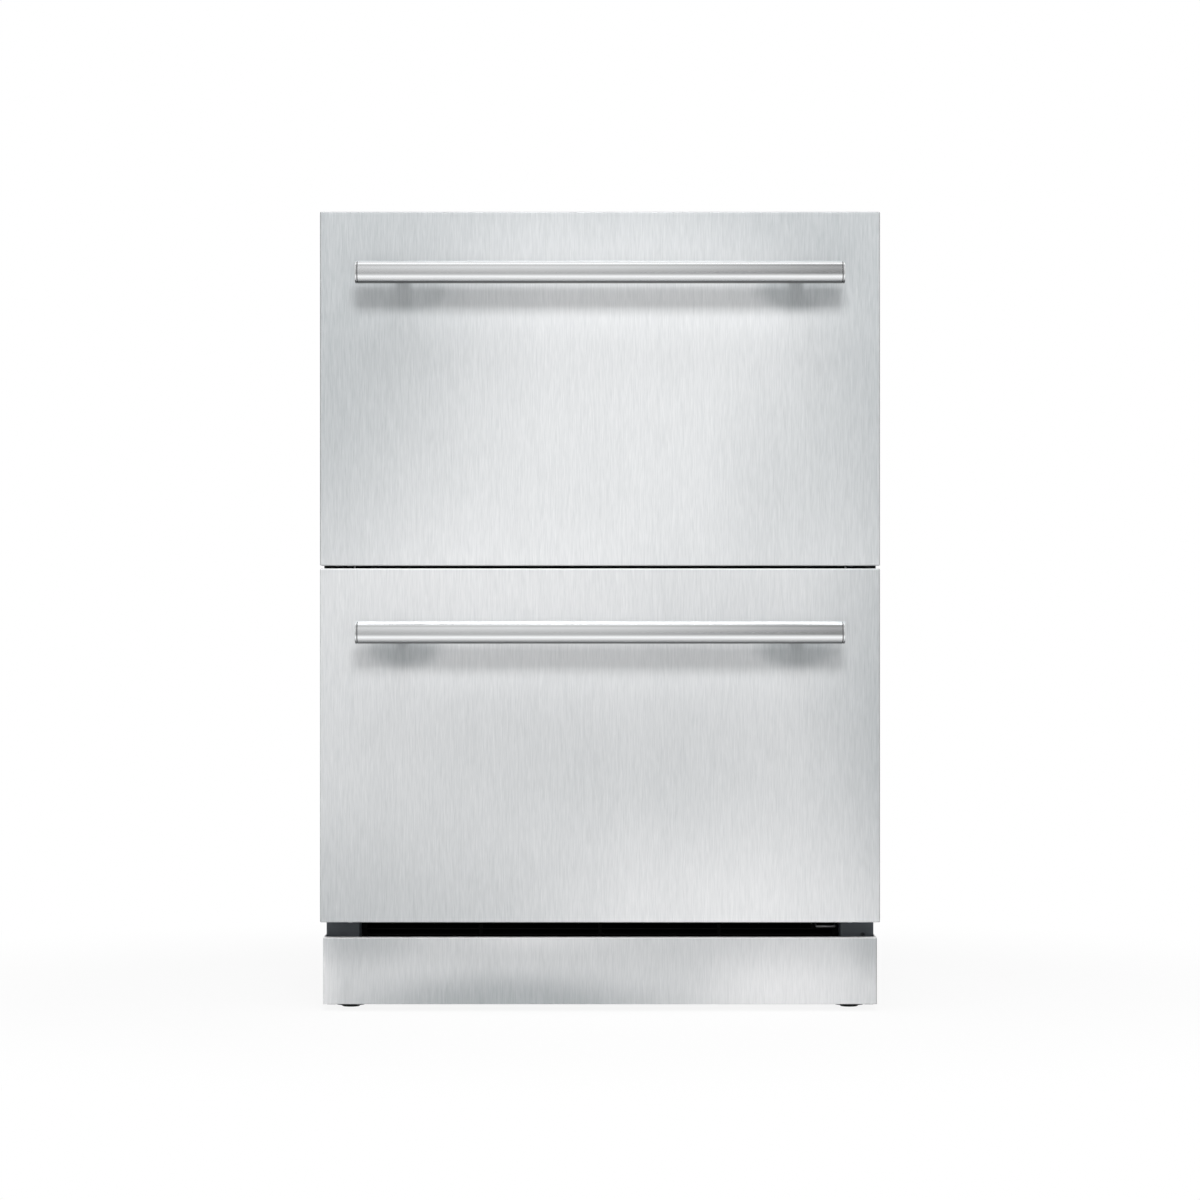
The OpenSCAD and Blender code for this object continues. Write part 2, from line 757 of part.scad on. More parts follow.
grille_x = housing_x0 - service_gap;
clip_x = grille_x - 1.2 * clip_w;
clip_z = toe_top + 8;
clip_reach = 22;
clip_ear = 6;
louvre_edge = 6;
louvre_cols = 4;
module intake_grille() color("black") {
    difference() {
        block([-grille_x, grille_x], [grille_y, grille_y + grille_t], [pan_top, cab_z0]);
        for (i = [0 : louvres - 1], col = [0 : louvre_cols - 1])
            louvre_slot(-grille_x + col * louvre_w, i);
        for (x = [clip_x, clip_x + clip_w])
            rod_y([x, grille_y - 1, clip_z], wire_d + 2 * service_gap, grille_t + 2);
    }
    wire_clip();
}
louvre_w = 2 * grille_x / louvre_cols;
louvre_pitch = (clip_z - clip_ear - pan_top - louvre_edge) / louvres;
module louvre_slot(x, i) {
    z = pan_top + louvre_edge + i * louvre_pitch;
    block([x + louvre_edge, x + louvre_w - louvre_edge], [grille_y - 1, grille_y + grille_t + 1],
          [z, z + louvre_pitch / 2]);
}

// Wire bail that the grille is pulled out by, with its legs turned through the grille
module wire_clip() {
    y0 = grille_y - clip_reach;
    for (x = [clip_x, clip_x + clip_w]) {
        rod_y([x, y0, clip_z], wire_d, clip_reach + grille_t + 3);
        translate([x, y0, clip_z]) sphere(d = wire_d);
    }
    rod_x([clip_x, y0, clip_z], wire_d, clip_w);
}

// ---- Slides ----

// Right-hand members as outlines in X and Z around the slide's middle height
function channel_in(x0, x1, h, t) = [
    [x1, -h / 2], [x1, h / 2], [x0, h / 2], [x0, h / 2 - t], [x1 - t, h / 2 - t],
    [x1 - t, t - h / 2], [x0, t - h / 2], [x0, -h / 2]
];
function channel_out(x0, x1, h, t) = [
    [x0, -h / 2], [x0, h / 2], [x1, h / 2], [x1, h / 2 - t], [x0 + t, h / 2 - t],
    [x0 + t, t - h / 2], [x1, t - h / 2], [x1, -h / 2]
];
middle_h = slide_h - 2 * slide_t - 2 * slide_clear;
inner_h = middle_h - 2 * slide_t - 2 * slide_clear;
middle_x0 = slide_x + slide_t + 2 * slide_clear;
middle_x1 = cav_x - slide_t - slide_clear;

module member(d, outline) translate([0, 0, slide_z(d)]) profile_y(slide_y(d), outline);

module slide_cabinet_members() color("lightsteelblue") for (d = [LOWER, UPPER]) pair()
    member(d, channel_in(middle_x0 + 2 * slide_clear, cav_x, slide_h, slide_t));

module slide_middles(d) pair()
    member(d, channel_in(middle_x0, middle_x1, middle_h, slide_t));

module slide_inners(d) pair()
    member(d, channel_out(slide_x, middle_x1 - slide_t - slide_clear, inner_h, slide_t));

module upper_slide_middles() color("lightsteelblue") slide_middles(UPPER);
module lower_slide_middles() color("lightsteelblue") slide_middles(LOWER);

// ---- Drawer fronts ----

module front_skin(d) difference() {
    block([-front_w / 2, front_w / 2], [0, skin_return], [front_z(d), front_z(d) + front_h]);
    block([-front_w / 2 + skin_t, front_w / 2 - skin_t], [skin_t, skin_return + 1],
          [front_z(d) + skin_t, front_z(d) + front_h - skin_t]);
    pair() rod_y([post_pitch / 2, -1, handle_z(d)], handle_screw_d + 2 * screw_clear, skin_t + 2);
    pair() rod_z([flange_screw_x, flange_screw_y, front_z(d) - 1],
                 shank_d + 2 * screw_clear, skin_t + 2);
}

// Foamed, moulded block behind the skin, raised in the middle of its rear
module inner_panel(d) {
    z = opening_z(d);
    difference() {
        union() {
            block([-front_w / 2 + skin_t, front_w / 2 - skin_t], [skin_t, front_t],
                  [front_z(d) + skin_t, front_z(d) + front_h - skin_t]);
            block([-boss_x, boss_x], [front_t, face_y - boss_clear],
                  [z[0] + boss_inset, z[1] - boss_inset]);
        }
        pair() {
            rod_y([post_pitch / 2, 0, handle_z(d)], handle_head_d + 1, skin_t + handle_head_h + 1);
            rod_z([flange_screw_x, flange_screw_y, front_z(d)],
                  shank_d + 2 * screw_clear, shank_len + 1);
            for (h = tab_screws)
                rod_y([tab_screw_x, front_t - shank_len - 1, bin_z(d)[0] + h],
                      shank_d + 2 * screw_clear, shank_len + 2);
        }
    }
}

module gasket(d) {
    z = gasket_z(d);
    x = front_w / 2 - gasket_inset;
    difference() {
        block([-x, x], [front_t, front_t + gasket_t], z);
        block([-x + gasket_w, x - gasket_w], [front_t - 1, front_t + gasket_t + 1],
              [z[0] + gasket_w, z[1] - gasket_w]);
    }
}

module front_screws(d) {
    pair() {
        translate([flange_screw_x, flange_screw_y, front_z(d)]) rotate([180, 0, 0])
            screw(head_d, flange_head_h, shank_d, shank_len);
        translate([post_pitch / 2, skin_t, handle_z(d)]) rotate([-90, 0, 0])
            screw(handle_head_d, handle_head_h, handle_screw_d, handle_screw_len);
        for (h = tab_screws)
            translate([tab_screw_x, front_t + plate_t, bin_z(d)[0] + h]) rotate([-90, 0, 0])
                screw(head_d, head_h, shank_d, shank_len);
    }
}

module upper_front_skin() color("lightgray") front_skin(UPPER);
module lower_front_skin() color("lightgray") front_skin(LOWER);
module upper_inner_panel() color("whitesmoke") inner_panel(UPPER);
module lower_inner_panel() color("whitesmoke") inner_panel(LOWER);
module upper_gasket() color("black") gasket(UPPER);
module lower_gasket() color("black") gasket(LOWER);
module upper_front_screws() color("gray") front_screws(UPPER);
module lower_front_screws() color("gray") front_screws(LOWER);

// ---- Handles ----

// Tube with a capped end on each side; a dark joint shows between tube and cap
module handle_bar(d) {
    tube_x = handle_len / 2 - cap_t - service_gap;
    translate([0, handle_y, handle_z(d)]) {
        difference() {
            rod_x([-tube_x, 0, 0], handle_d, 2 * tube_x);
            rod_x([-tube_x - 1, 0, 0], handle_d - 2 * handle_wall, 2 * tube_x + 2);
            pair() rod_y([post_pitch / 2, 0, 0], spigot_d + 2 * service_gap, handle_d);
        }
        pair() end_cap();
    }
}

module end_cap() translate([handle_len / 2 - cap_t, 0, 0]) rotate([0, 90, 0]) {
    cylinder(d = handle_d, h = cap_t - cap_chamfer);
    translate([0, 0, cap_t - cap_chamfer])
        cylinder(d1 = handle_d, d2 = handle_d - 2 * cap_chamfer, h = cap_chamfer);
    translate([0, 0, -cap_plug])
        cylinder(d = handle_d - 2 * handle_wall - 2 * seat_gap, h = cap_plug);
}

// Posts saddled to the bar, with a spigot through its wall and a bore for the screw
module handle_posts(d) pair() difference() {
    translate([post_pitch / 2, 0, handle_z(d)]) {
        difference() {
            rod_y([0, handle_y, 0], post_d, -handle_y);
            rod_x([-post_d, handle_y, 0], handle_d + 2 * seat_gap, 2 * post_d);
        }
        rod_y([0, handle_y + handle_d / 2 - handle_wall - spigot_reach, 0], spigot_d,
              handle_wall + spigot_reach + 2);
    }
    rod_y([post_pitch / 2, skin_t - handle_screw_len - 1, handle_z(d)],
          handle_screw_d + 2 * screw_clear, handle_screw_len + 1);
}

module upper_handle_bar() color("silver") handle_bar(UPPER);
module lower_handle_bar() color("silver") handle_bar(LOWER);
module upper_handle_posts() color("silver") handle_posts(UPPER);
module lower_handle_posts() color("silver") handle_posts(LOWER);

// ---- Drawers ----

// Side plates with ledges and front tabs, a rear bar that stands on the ledges between them,
// and the slides' inner members
module drawer_frame(d) {
    z0 = bin_z(d)[0] - plate_t;
    y1 = bin_y1(d) + 1 + plate_t;
    bar_x = plate_x - seat_gap;
    pair() difference() {
        union() {
            block([plate_x, plate_x + plate_t], [front_t, y1], [z0, z0 + plate_h]);
            block([plate_x - ledge_w, plate_x], [face_y, y1], [z0, z0 + plate_t]);
            block([plate_x, plate_x + tab_w + plate_t], [front_t, front_t + plate_t],
                  [z0, z0 + plate_h]);
        }
        for (h = tab_screws)
            rod_y([tab_screw_x, front_t - 1, bin_z(d)[0] + h],
                  shank_d + 2 * screw_clear, plate_t + 2);
    }
    block([-bar_x, bar_x], [y1 - plate_t, y1], [z0 + plate_t + seat_gap, z0 + rear_bar_h]);
    slide_inners(d);
}

module bin(d) {
    z = bin_z(d);
    y = [bin_y0, bin_y1(d)];
    difference() {
        union() {
            rounded_block([-bin_x, bin_x], y, z, bin_corner);
            rounded_block([-bin_x - rim_w, bin_x + rim_w], [y[0] - rim_w, y[1] + rim_w],
                          [z[1] - bin_wall, z[1]], bin_corner + rim_w);
        }
        rounded_block([-bin_x + bin_wall, bin_x - bin_wall], [y[0] + bin_wall, y[1] - bin_wall],
                      [z[0] + bin_wall, z[1] + 1], bin_corner - bin_wall);
    }
}

// Upright plate across the upper bin that hangs on the rim and slides along it
module upper_bin_divider() color("gainsboro") {
    y = (bin_y0 + bin_y1(UPPER)) / 2;
    top = bin_z(UPPER)[1] + service_gap;
    half = bin_x - bin_wall - divider_gap;
    block([-half, half], [y - divider_t / 2, y + divider_t / 2], [top - divider_h, top + divider_t]);
    pair() block([half - 1, bin_x + rim_w], [y - 3 * divider_t, y + 3 * divider_t],
                 [top, top + divider_t]);
}

module upper_drawer_frame() color("silver") drawer_frame(UPPER);
module lower_drawer_frame() color("silver") drawer_frame(LOWER);
module upper_bin() color("whitesmoke") bin(UPPER);
module lower_bin() color("whitesmoke") bin(LOWER);

// ---- Cooling machinery ----

module compressor() color("#222222") {
    translate([compressor_x, mach_mid, 0]) {
        r = compressor_d / 2;
        half = foot_plate / 2;
        translate([0, 0, plate_z]) {
            cylinder(r = r, h = compressor_h - compressor_round);
            cylinder(r = r - compressor_round, h = compressor_h);
            translate([0, 0, compressor_h - compressor_round]) rotate_extrude()
                translate([r - compressor_round, 0]) circle(r = compressor_round);
            block([-half, half], [-half, half], [0, foot_plate_t]);
        }
        grommet_at = half - grommet_d / 2 - 2;
        for (sx = [-1, 1], sy = [-1, 1])
            rod_z([sx * grommet_at, sy * grommet_at, pan_top], grommet_d, grommet_h);
    }
}

// Plates on tubes that run along Y, between two end plates that stand on the base pan
condenser_x = [condenser_inset - half_w, -shroud_x - condenser_gap];
condenser_mid = (condenser_x[0] + condenser_x[1]) / 2;
condenser_y = [mach_y + 16, back_in - 14];
module condenser_coil() color("darkslategray") {
    y = condenser_y;
    pitch = (y[1] - y[0]) / (condenser_fins + 1);
    for (i = [1 : condenser_fins])
        block(condenser_x, [y[0] + i * pitch - fin_t / 2, y[0] + i * pitch + fin_t / 2],
              [coil_z0, coil_z1]);
    for (end = [y[0], y[1] - end_plate_t])
        block(condenser_x, [end, end + end_plate_t], [pan_top, coil_z1]);
    for (k = [0 : coil_tubes - 1])
        rod_y([condenser_mid, y[0] - tube_out, coil_z0 + (k + 0.5) * condenser_h / coil_tubes],
              line_d, y[1] - y[0] + 2 * tube_out);
}

// Plate with a ring round the fan, a bracket across it, and the motor on the bracket
module fan_shroud() color("dimgray") {
    x = -shroud_x;
    bar_x = motor_x - bar_t;
    bar_z = [cond_fan_z - bar_h / 2, cond_fan_z + bar_h / 2];
    arm_y = ring_d / 2 + ring_t + 9;
    difference() {
        union() {
            block([x, x + frame_t], [mach_y + 3, back_in - 3], [pan_top, shroud_top]);
            rod_x([x, mach_mid, cond_fan_z], ring_d + 2 * ring_t, ring_len);
        }
        rod_x([x - 1, mach_mid, cond_fan_z], ring_d, ring_len + 2);
    }
    difference() {
        union() {
            block([bar_x, motor_x], [mach_mid - arm_y, mach_mid + arm_y], bar_z);
            for (s = [-1, 1])
                block([x, motor_x],
                      [mach_mid + s * arm_y - bar_t / 2, mach_mid + s * arm_y + bar_t / 2],
                      bar_z);
        }
        rod_x([bar_x - 1, mach_mid, cond_fan_z], shaft_d + 1, bar_t + 2);
    }
    rod_x([motor_x + seat_gap, mach_mid, cond_fan_z], cond_motor_d, cond_motor_len);
    rod_x([x + fan_inset - 1, mach_mid, cond_fan_z], shaft_d, bar_x - x);
}
ring_d = cond_fan_d + 6;
ring_t = 1.5;
bar_h = 18;
fan_inset = 5;
shaft_d = 5;
shaft_gap = 0.25;

// A fan along +Z: a hub with a bore and pitched blades inside a circle
blade_pitch = 32;
blade_t = 1.6;
module fan(d, hub, depth, blades) difference() {
    union() {
        cylinder(d = hub, h = depth);
        intersection() {
            for (k = [0 : blades - 1]) rotate([0, 0, k * 360 / blades])
                translate([0, 0, depth / 2]) rotate([blade_pitch, 0, 0])
                    block([hub / 2 - blade_t, d / 2], [-d / 5, d / 5], [-blade_t / 2, blade_t / 2]);
            cylinder(d = d, h = depth);
        }
    }
    translate([0, 0, -1]) cylinder(d = shaft_d + 2 * shaft_gap, h = depth + 2);
}

cond_fan_depth = 20;
evap_fan_depth = 18;
module condenser_fan() color("black")
    translate([fan_inset - shroud_x, mach_mid, cond_fan_z]) rotate([0, 90, 0])
        fan(cond_fan_d, 36, cond_fan_depth, 5);

// Discharge, suction and liquid lines, and the filter drier in the liquid line
port_z = plate_z + compressor_h / 2;
port_y = mach_mid - 24;
liquid_y = back_in - 24;
drier_len = 60;
module refrigerant_lines() color("peru") {
    difference() {
        union() {
            pipe(line_d, [
                [compressor_x, port_y, port_z], [line_x, port_y, port_z],
                [line_x, port_y, pipe_z], [condenser_mid, port_y, pipe_z],
                [condenser_mid, port_y, coil_z1]
            ]);
            pipe(line_d, [
                [compressor_x, line_y, port_z + 30], [line_x, line_y, port_z + 30],
                [line_x, line_y, evap_z0]
            ]);
        }
        rod_z([compressor_x, mach_mid, 0], compressor_d + 2 * service_gap, machine_top);
    }
    pipe(line_d, [
        [condenser_x[1], liquid_y, cond_fan_z], [-liquid_x, liquid_y, cond_fan_z],
        [-liquid_x, liquid_y, pipe_z], [-liquid_x, line_y, pipe_z], [-liquid_x, line_y, evap_z0]
    ]);
    rod_z([-liquid_x, liquid_y, cond_fan_z + drier_len / 3], drier_d, drier_len);
}

// Tray on the compressor, where meltwater from the drain tube dries up
drain_wall = 1.5;
module drip_tray() color("gray") {
    x = [compressor_x - tray_w / 2, compressor_x + tray_w / 2];
    y = [mach_mid - tray_depth / 2, mach_mid + tray_depth / 2];
    drain_z = comp_top + tray_h / 2;
    difference() {
        block(x, y, [comp_top, comp_top + tray_h]);
        block([x[0] + tray_wall, x[1] - tray_wall], [y[0] + tray_wall, y[1] - tray_wall],
              [comp_top + tray_wall, comp_top + tray_h + 1]);
    }
    difference() {
        rod_z([compressor_x, line_y, drain_z], drain_d, step_z - drain_z);
        rod_z([compressor_x, line_y, drain_z - 1], drain_d - 2 * drain_wall, step_z);
    }
}

board_y = mach_y + 10;
board_z = machine_top - 15 - board_h;
module control_board_box() color("dimgray") difference() {
    block([-in_x, -in_x + board_w], [board_y, board_y + board_depth], [board_z, board_z + board_h]);
    block([-in_x - 1, -in_x + board_w - board_wall],
          [board_y + board_wall, board_y + board_depth - board_wall],
          [board_z + board_wall, board_z + board_h - board_wall]);
}

// Panel-mounted inlet with three pins
inlet_wall = 1.5;
pin_pitch = 7;
pin_drop = 2.5;
pin_recess = 6;

// The inlet's body, widened all round by g, over a stretch of depth
module inlet_body(g, y) {
    x = inlet_w / 2 + inlet_wall + g;
    z = inlet_h / 2 + inlet_wall + g;
    block([-inlet_x - x, -inlet_x + x], y, [inlet_z - z, inlet_z + z]);
}

module inlet_pin(x, z)
    block([x - 1, x + 1], [body_depth - inlet_depth - 1, body_depth - pin_recess], [z - 2, z + 2]);

module power_inlet() color("black") {
    x = [-inlet_x - inlet_w / 2, -inlet_x + inlet_w / 2];
    z = [inlet_z - inlet_h / 2, inlet_z + inlet_h / 2];
    difference() {
        union() {
            block([-inlet_x - inlet_flange_w / 2, -inlet_x + inlet_flange_w / 2],
                  [back_y, body_depth], [inlet_z - inlet_flange_h / 2, inlet_z + inlet_flange_h / 2]);
            inlet_body(0, [back_y - inlet_depth - 4, back_y]);
        }
        block(x, [body_depth - inlet_depth, body_depth + 1], z);
    }
    for (k = [-1, 0, 1])
        inlet_pin(-inlet_x + k * pin_pitch, inlet_z + (k == 0 ? pin_drop : -pin_drop));
}

// ---- Air inside ----

coil_y = [cover_y + 12, cav_y - 4];
module evaporator_coil() color("lightgray") {
    z = [evap_z0, evap_z0 + evap_h];
    pitch = evap_w / (evap_fins + 1);
    for (i = [1 : evap_fins])
        block([i * pitch - (evap_w + fin_t) / 2, i * pitch - (evap_w - fin_t) / 2], coil_y, z);
    pair() block([evap_w / 2 - end_plate_t, evap_w / 2], [coil_y[0], cav_y], z);
    for (k = [0 : coil_tubes - 1])
        rod_x([-evap_w / 2 - tube_out, (coil_y[0] + coil_y[1]) / 2,
               z[0] + (k + 0.5) * evap_h / coil_tubes], line_d, evap_w + 2 * tube_out);
}

return_slots = 6;
return_cols = 6;
return_pitch = 14;
return_h = 6;
return_lift = 26;
cover_gap = 8;
module evaporator_cover() color("whitesmoke") {
    x = cover_w / 2;
    z = [step_z + cover_gap, ceil_z - cover_gap];
    col_w = cover_w * 0.9 / return_cols;
    difference() {
        block([-x, x], [cover_y, cav_y], z);
        block([-x + cover_wall, x - cover_wall], [cover_y + cover_wall, cav_y + 1],
              [z[0] + cover_wall, z[1] - cover_wall]);
        translate([0, cover_y - 1, evap_fan_z]) rotate([-90, 0, 0])
            fan_grille(evap_fan_d + 6, cover_wall + 2);
        for (i = [0 : return_slots - 1], col = [0 : return_cols - 1]) {
            slot_x = (col - return_cols / 2) * col_w;
            slot_z = z[0] + return_lift + i * return_pitch;
            block([slot_x + 6, slot_x + col_w - 6], [cover_y - 1, cover_y + cover_wall + 1],
                  [slot_z, slot_z + return_h]);
        }
        service_holes();
    }
}

// The open parts of a round grille: rings cut by four spokes
grille_rings = 4;
grille_hub = 10;
grille_rib = 3;
module fan_grille(d, depth) {
    step = (d / 2 - grille_hub) / grille_rings;
    difference() {
        for (k = [1 : grille_rings]) difference() {
            cylinder(r = grille_hub + k * step, h = depth);
            translate([0, 0, -1]) cylinder(r = grille_hub + (k - 1) * step + grille_rib, h = depth + 2);
        }
        for (a = [45, 135]) rotate([0, 0, a])
            block([-d / 2, d / 2], [-grille_rib / 2, grille_rib / 2], [-1, depth + 1]);
    }
}

evap_fan_y = cover_y + cover_wall + 8;
module evaporator_fan() color("dimgray")
    translate([0, evap_fan_y, evap_fan_z]) rotate([-90, 0, 0])
        fan(evap_fan_d, 30, evap_fan_depth, 5);

motor_plate_t = 3;
module evaporator_fan_motor() color("gray") {
    motor_y = evap_fan_y + evap_fan_depth + 4;
    plate_y = cav_y - motor_plate_t;
    rod_y([0, motor_y, evap_fan_z], evap_motor_d, plate_y - motor_y);
    block([-motor_plate / 2, motor_plate / 2], [plate_y, cav_y],
          [evap_fan_z - motor_plate / 2, evap_fan_z + motor_plate / 2]);
    rod_y([0, evap_fan_y + 2, evap_fan_z], shaft_d, evap_fan_depth + 4);
}

// ---- Controls and light ----

panel_y = face_y + panel_setback;
panel_z = ceil_z - panel_h / 2;
window_x = -20;
function button_x(i) = window_x + window_w / 2 + button_pitch * (i + 0.75);
button_len = 8;

module control_panel() color("#333333") difference() {
    block([-panel_w / 2, panel_w / 2], [panel_y, panel_y + panel_depth], [ceil_z - panel_h, ceil_z]);
    block([window_x - window_w / 2, window_x + window_w / 2], [panel_y - 1, panel_y + window_t],
          [panel_z - window_h / 2, panel_z + window_h / 2]);
    for (i = [0 : 2])
        rod_y([button_x(i) - button_d / 2, panel_y - 1, panel_z], button_d + 2 * button_gap,
              button_len + 2);
}

module display_window() color("black")
    block([window_x - window_w / 2 + seat_gap, window_x + window_w / 2 - seat_gap],
          [panel_y, panel_y + window_t],
          [panel_z - window_h / 2 + seat_gap, panel_z + window_h / 2 - seat_gap]);

module button(i) rod_y([button_x(i) - button_d / 2, panel_y - button_out, panel_z], button_d, button_len);
module button_colder() color("silver") button(0);
module button_warmer() color("silver") button(1);
module button_light() color("silver") button(2);

module ceiling_lamp() color("white")
    rounded_block([-lamp_w / 2, lamp_w / 2], [lamp_y, lamp_y + lamp_depth],
                  [ceil_z - lamp_t, ceil_z], lamp_corner);
lamp_corner = 4;

product() side_panel_left();
product() side_panel_right();
product() top_panel();
product() back_panel();
product() underside_panel();
product() face_frame();
product() inner_liner();
product() insulation_foam();
product() centre_rail();
product() base_pan();
product() foot_housings();
product() toe_kick();
product() toe_kick_brackets();
product() intake_grille();
product() worktop_brackets();
product() machine_cover();
product() cabinet_screws();
product() slide_cabinet_members();
product() compressor();
product() condenser_coil();
product() fan_shroud();
product() condenser_fan();
product() refrigerant_lines();
product() drip_tray();
product() control_board_box();
product() power_inlet();
product() evaporator_coil();
product() evaporator_cover();
product() evaporator_fan();
product() evaporator_fan_motor();
product() control_panel();
product() display_window();
product() button_colder();
product() button_warmer();
product() button_light();
product() ceiling_lamp();
product() foot_front_left();
product() foot_front_right();
product() foot_rear_left();
product() foot_rear_right();
product() upper_front_skin();
product() upper_inner_panel();
product() upper_gasket();
product() upper_handle_bar();
product() upper_handle_posts();
product() upper_front_screws();
product() upper_drawer_frame();
product() upper_bin();
product() upper_bin_divider();
product() upper_slide_middles();
product() lower_front_skin();
product() lower_inner_panel();
product() lower_gasket();
product() lower_handle_bar();
product() lower_handle_posts();
product() lower_front_screws();
product() lower_drawer_frame();
product() lower_bin();
product() lower_slide_middles();
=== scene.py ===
import bpy
import bmesh
import json
import math
from mathutils import Matrix, Vector

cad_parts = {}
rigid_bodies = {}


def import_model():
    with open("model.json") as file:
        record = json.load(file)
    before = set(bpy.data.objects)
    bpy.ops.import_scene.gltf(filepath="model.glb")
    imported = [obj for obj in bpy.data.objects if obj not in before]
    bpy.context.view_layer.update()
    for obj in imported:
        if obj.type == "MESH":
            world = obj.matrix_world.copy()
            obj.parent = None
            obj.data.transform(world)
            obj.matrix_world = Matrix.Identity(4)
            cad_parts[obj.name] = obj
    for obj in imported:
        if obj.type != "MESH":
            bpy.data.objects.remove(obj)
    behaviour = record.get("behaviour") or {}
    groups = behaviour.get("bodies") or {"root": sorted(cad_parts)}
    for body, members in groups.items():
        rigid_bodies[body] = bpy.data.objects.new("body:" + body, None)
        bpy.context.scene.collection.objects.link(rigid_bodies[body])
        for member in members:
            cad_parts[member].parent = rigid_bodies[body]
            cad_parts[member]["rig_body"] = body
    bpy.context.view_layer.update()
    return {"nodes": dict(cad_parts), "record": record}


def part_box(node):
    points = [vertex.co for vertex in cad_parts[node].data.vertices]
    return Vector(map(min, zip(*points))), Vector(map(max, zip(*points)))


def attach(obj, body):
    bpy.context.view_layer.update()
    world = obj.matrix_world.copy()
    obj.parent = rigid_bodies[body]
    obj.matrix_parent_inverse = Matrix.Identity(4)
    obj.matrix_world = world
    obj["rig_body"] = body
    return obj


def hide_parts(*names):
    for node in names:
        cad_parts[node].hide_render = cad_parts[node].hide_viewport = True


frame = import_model()
mm = 0.001

# ---- camera and studio ----

camera = dict(distance=4.4, height=0.44687, seenWidth=1.2985, sensor=36, reach=50)
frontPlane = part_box("upper_front_skin")[0].y

viewer = bpy.data.objects.new("camera", bpy.data.cameras.new("camera"))
bpy.context.scene.collection.objects.link(viewer)
viewer.data.sensor_width = camera["sensor"]
viewer.data.lens = camera["sensor"] * camera["distance"] / camera["seenWidth"]
viewer.location = (0, frontPlane - camera["distance"], camera["height"])
viewer.rotation_euler = (math.radians(90), 0, 0)
viewer.data.clip_end = camera["reach"]
bpy.context.scene.camera = viewer
bpy.context.scene.view_settings.view_transform = "Standard"


# ---- node trees written as sums ----

def socketOf(sockets, key):
    return sockets[key] if isinstance(key, int) else next(
        s for s in sockets if key in (s.identifier, s.name))


class Wire:  # a node's output that takes part in sums
    def __init__(self, sheet, socket):
        self.sheet, self.socket = sheet, socket

    def other(self, name):  # another output of the same node
        return Wire(self.sheet, socketOf(self.socket.node.outputs, name))

    def maths(self, operation, first, second):
        return self.sheet.add("ShaderNodeMath", dict(operation=operation), {0: first, 1: second})

    def __add__(self, value): return self.maths("ADD", self, value)
    def __sub__(self, value): return self.maths("SUBTRACT", self, value)
    def __rsub__(self, value): return self.maths("SUBTRACT", value, self)
    def __mul__(self, value): return self.maths("MULTIPLY", self, value)
    def __truediv__(self, value): return self.maths("DIVIDE", self, value)
    def __abs__(self): return self.maths("ABSOLUTE", self, 0)


class Sheet:  # a node tree, for a surface or for geometry
    def __init__(self, tree):
        self.tree = tree

    def add(self, kind, settings={}, values={}, out=0):
        node = self.tree.nodes.new(kind)
        for key, value in settings.items():
            if key != "stops":
                setattr(node, key, value)
                continue
            stops = node.color_ramp.elements
            while len(stops) < len(value):
                stops.new(1)
            for stop, (place, shade) in zip(stops, value):
                stop.position, stop.color = place, shadeOf(shade)
        for key, value in values.items():
            socket = socketOf(node.inputs, key)
            if isinstance(value, Wire):
                self.tree.links.new(value.socket, socket)
            else:
                socket.default_value = value
        return Wire(self, socketOf(node.outputs, out)) if node.outputs else node

    def blendOf(self, share, low, high):  # one colour fading into another
        return self.add("ShaderNodeMix", dict(data_type="RGBA"), {
            "Factor_Float": share, "A_Color": low if isinstance(low, Wire) else shadeOf(low),
            "B_Color": high if isinstance(high, Wire) else shadeOf(high)}, "Result_Color")

    def spread(self, value, low, high, newLow=0.0, newHigh=1.0):  # a clamped, smooth step
        return self.add("ShaderNodeMapRange", dict(interpolation_type="SMOOTHSTEP"), {
            "Value": value, "From Min": low, "From Max": high,
            "To Min": newLow, "To Max": newHigh})


def shadeOf(value):
    return (value, value, value, 1) if isinstance(value, (int, float)) else (*value[:3], 1)


# ---- surfaces ----

surfaces = {}
patchDepth = 50  # an oval of painted sheen or painted shade reaches this far to the front and back, so it varies by x and z alone


class Surface(Sheet):  # a material with its patterns on Object coordinates
    def __init__(self, name):
        self.item = bpy.data.materials.new(name)
        self.item.use_nodes = True
        self.item.node_tree.nodes.clear()
        super().__init__(self.item.node_tree)
        self.place = self.add("ShaderNodeTexCoord", out="Object")
        surfaces[name] = self.item

    def stretch(self, scale):
        return self.add("ShaderNodeMapping", {}, {"Vector": self.place, "Scale": scale})

    def noise(self, scale, detail=2.0, rough=0.5):
        scale = scale if isinstance(scale, tuple) else (scale, scale, scale)
        return self.add("ShaderNodeTexNoise", {}, {
            "Vector": self.stretch(scale), "Scale": 1.0, "Detail": detail, "Roughness": rough})

    def patch(self, middle, size):  # a soft oval in the plane of the fronts, for painted sheen and painted shade
        vector = self.add("ShaderNodeMapping", dict(vector_type="TEXTURE"), {
            "Vector": self.place, "Location": (middle[0], 0, middle[1]),
            "Scale": (size[0], patchDepth, size[1])})
        ball = self.add("ShaderNodeTexGradient", dict(gradient_type="SPHERICAL"),
                        {"Vector": vector}, "Fac")
        return self.spread(ball, 0.0, 1.0)

    def bump(self, height, distance, strength):
        return self.add("ShaderNodeBump", {}, {
            "Height": height, "Distance": distance, "Strength": strength})

    def finish(self, **values):
        names = {key.replace("_", " "): value for key, value in values.items()}
        coated = self.add("ShaderNodeBsdfPrincipled", {}, names)
        self.add("ShaderNodeOutputMaterial", {}, {"Surface": coated})
        return self.item


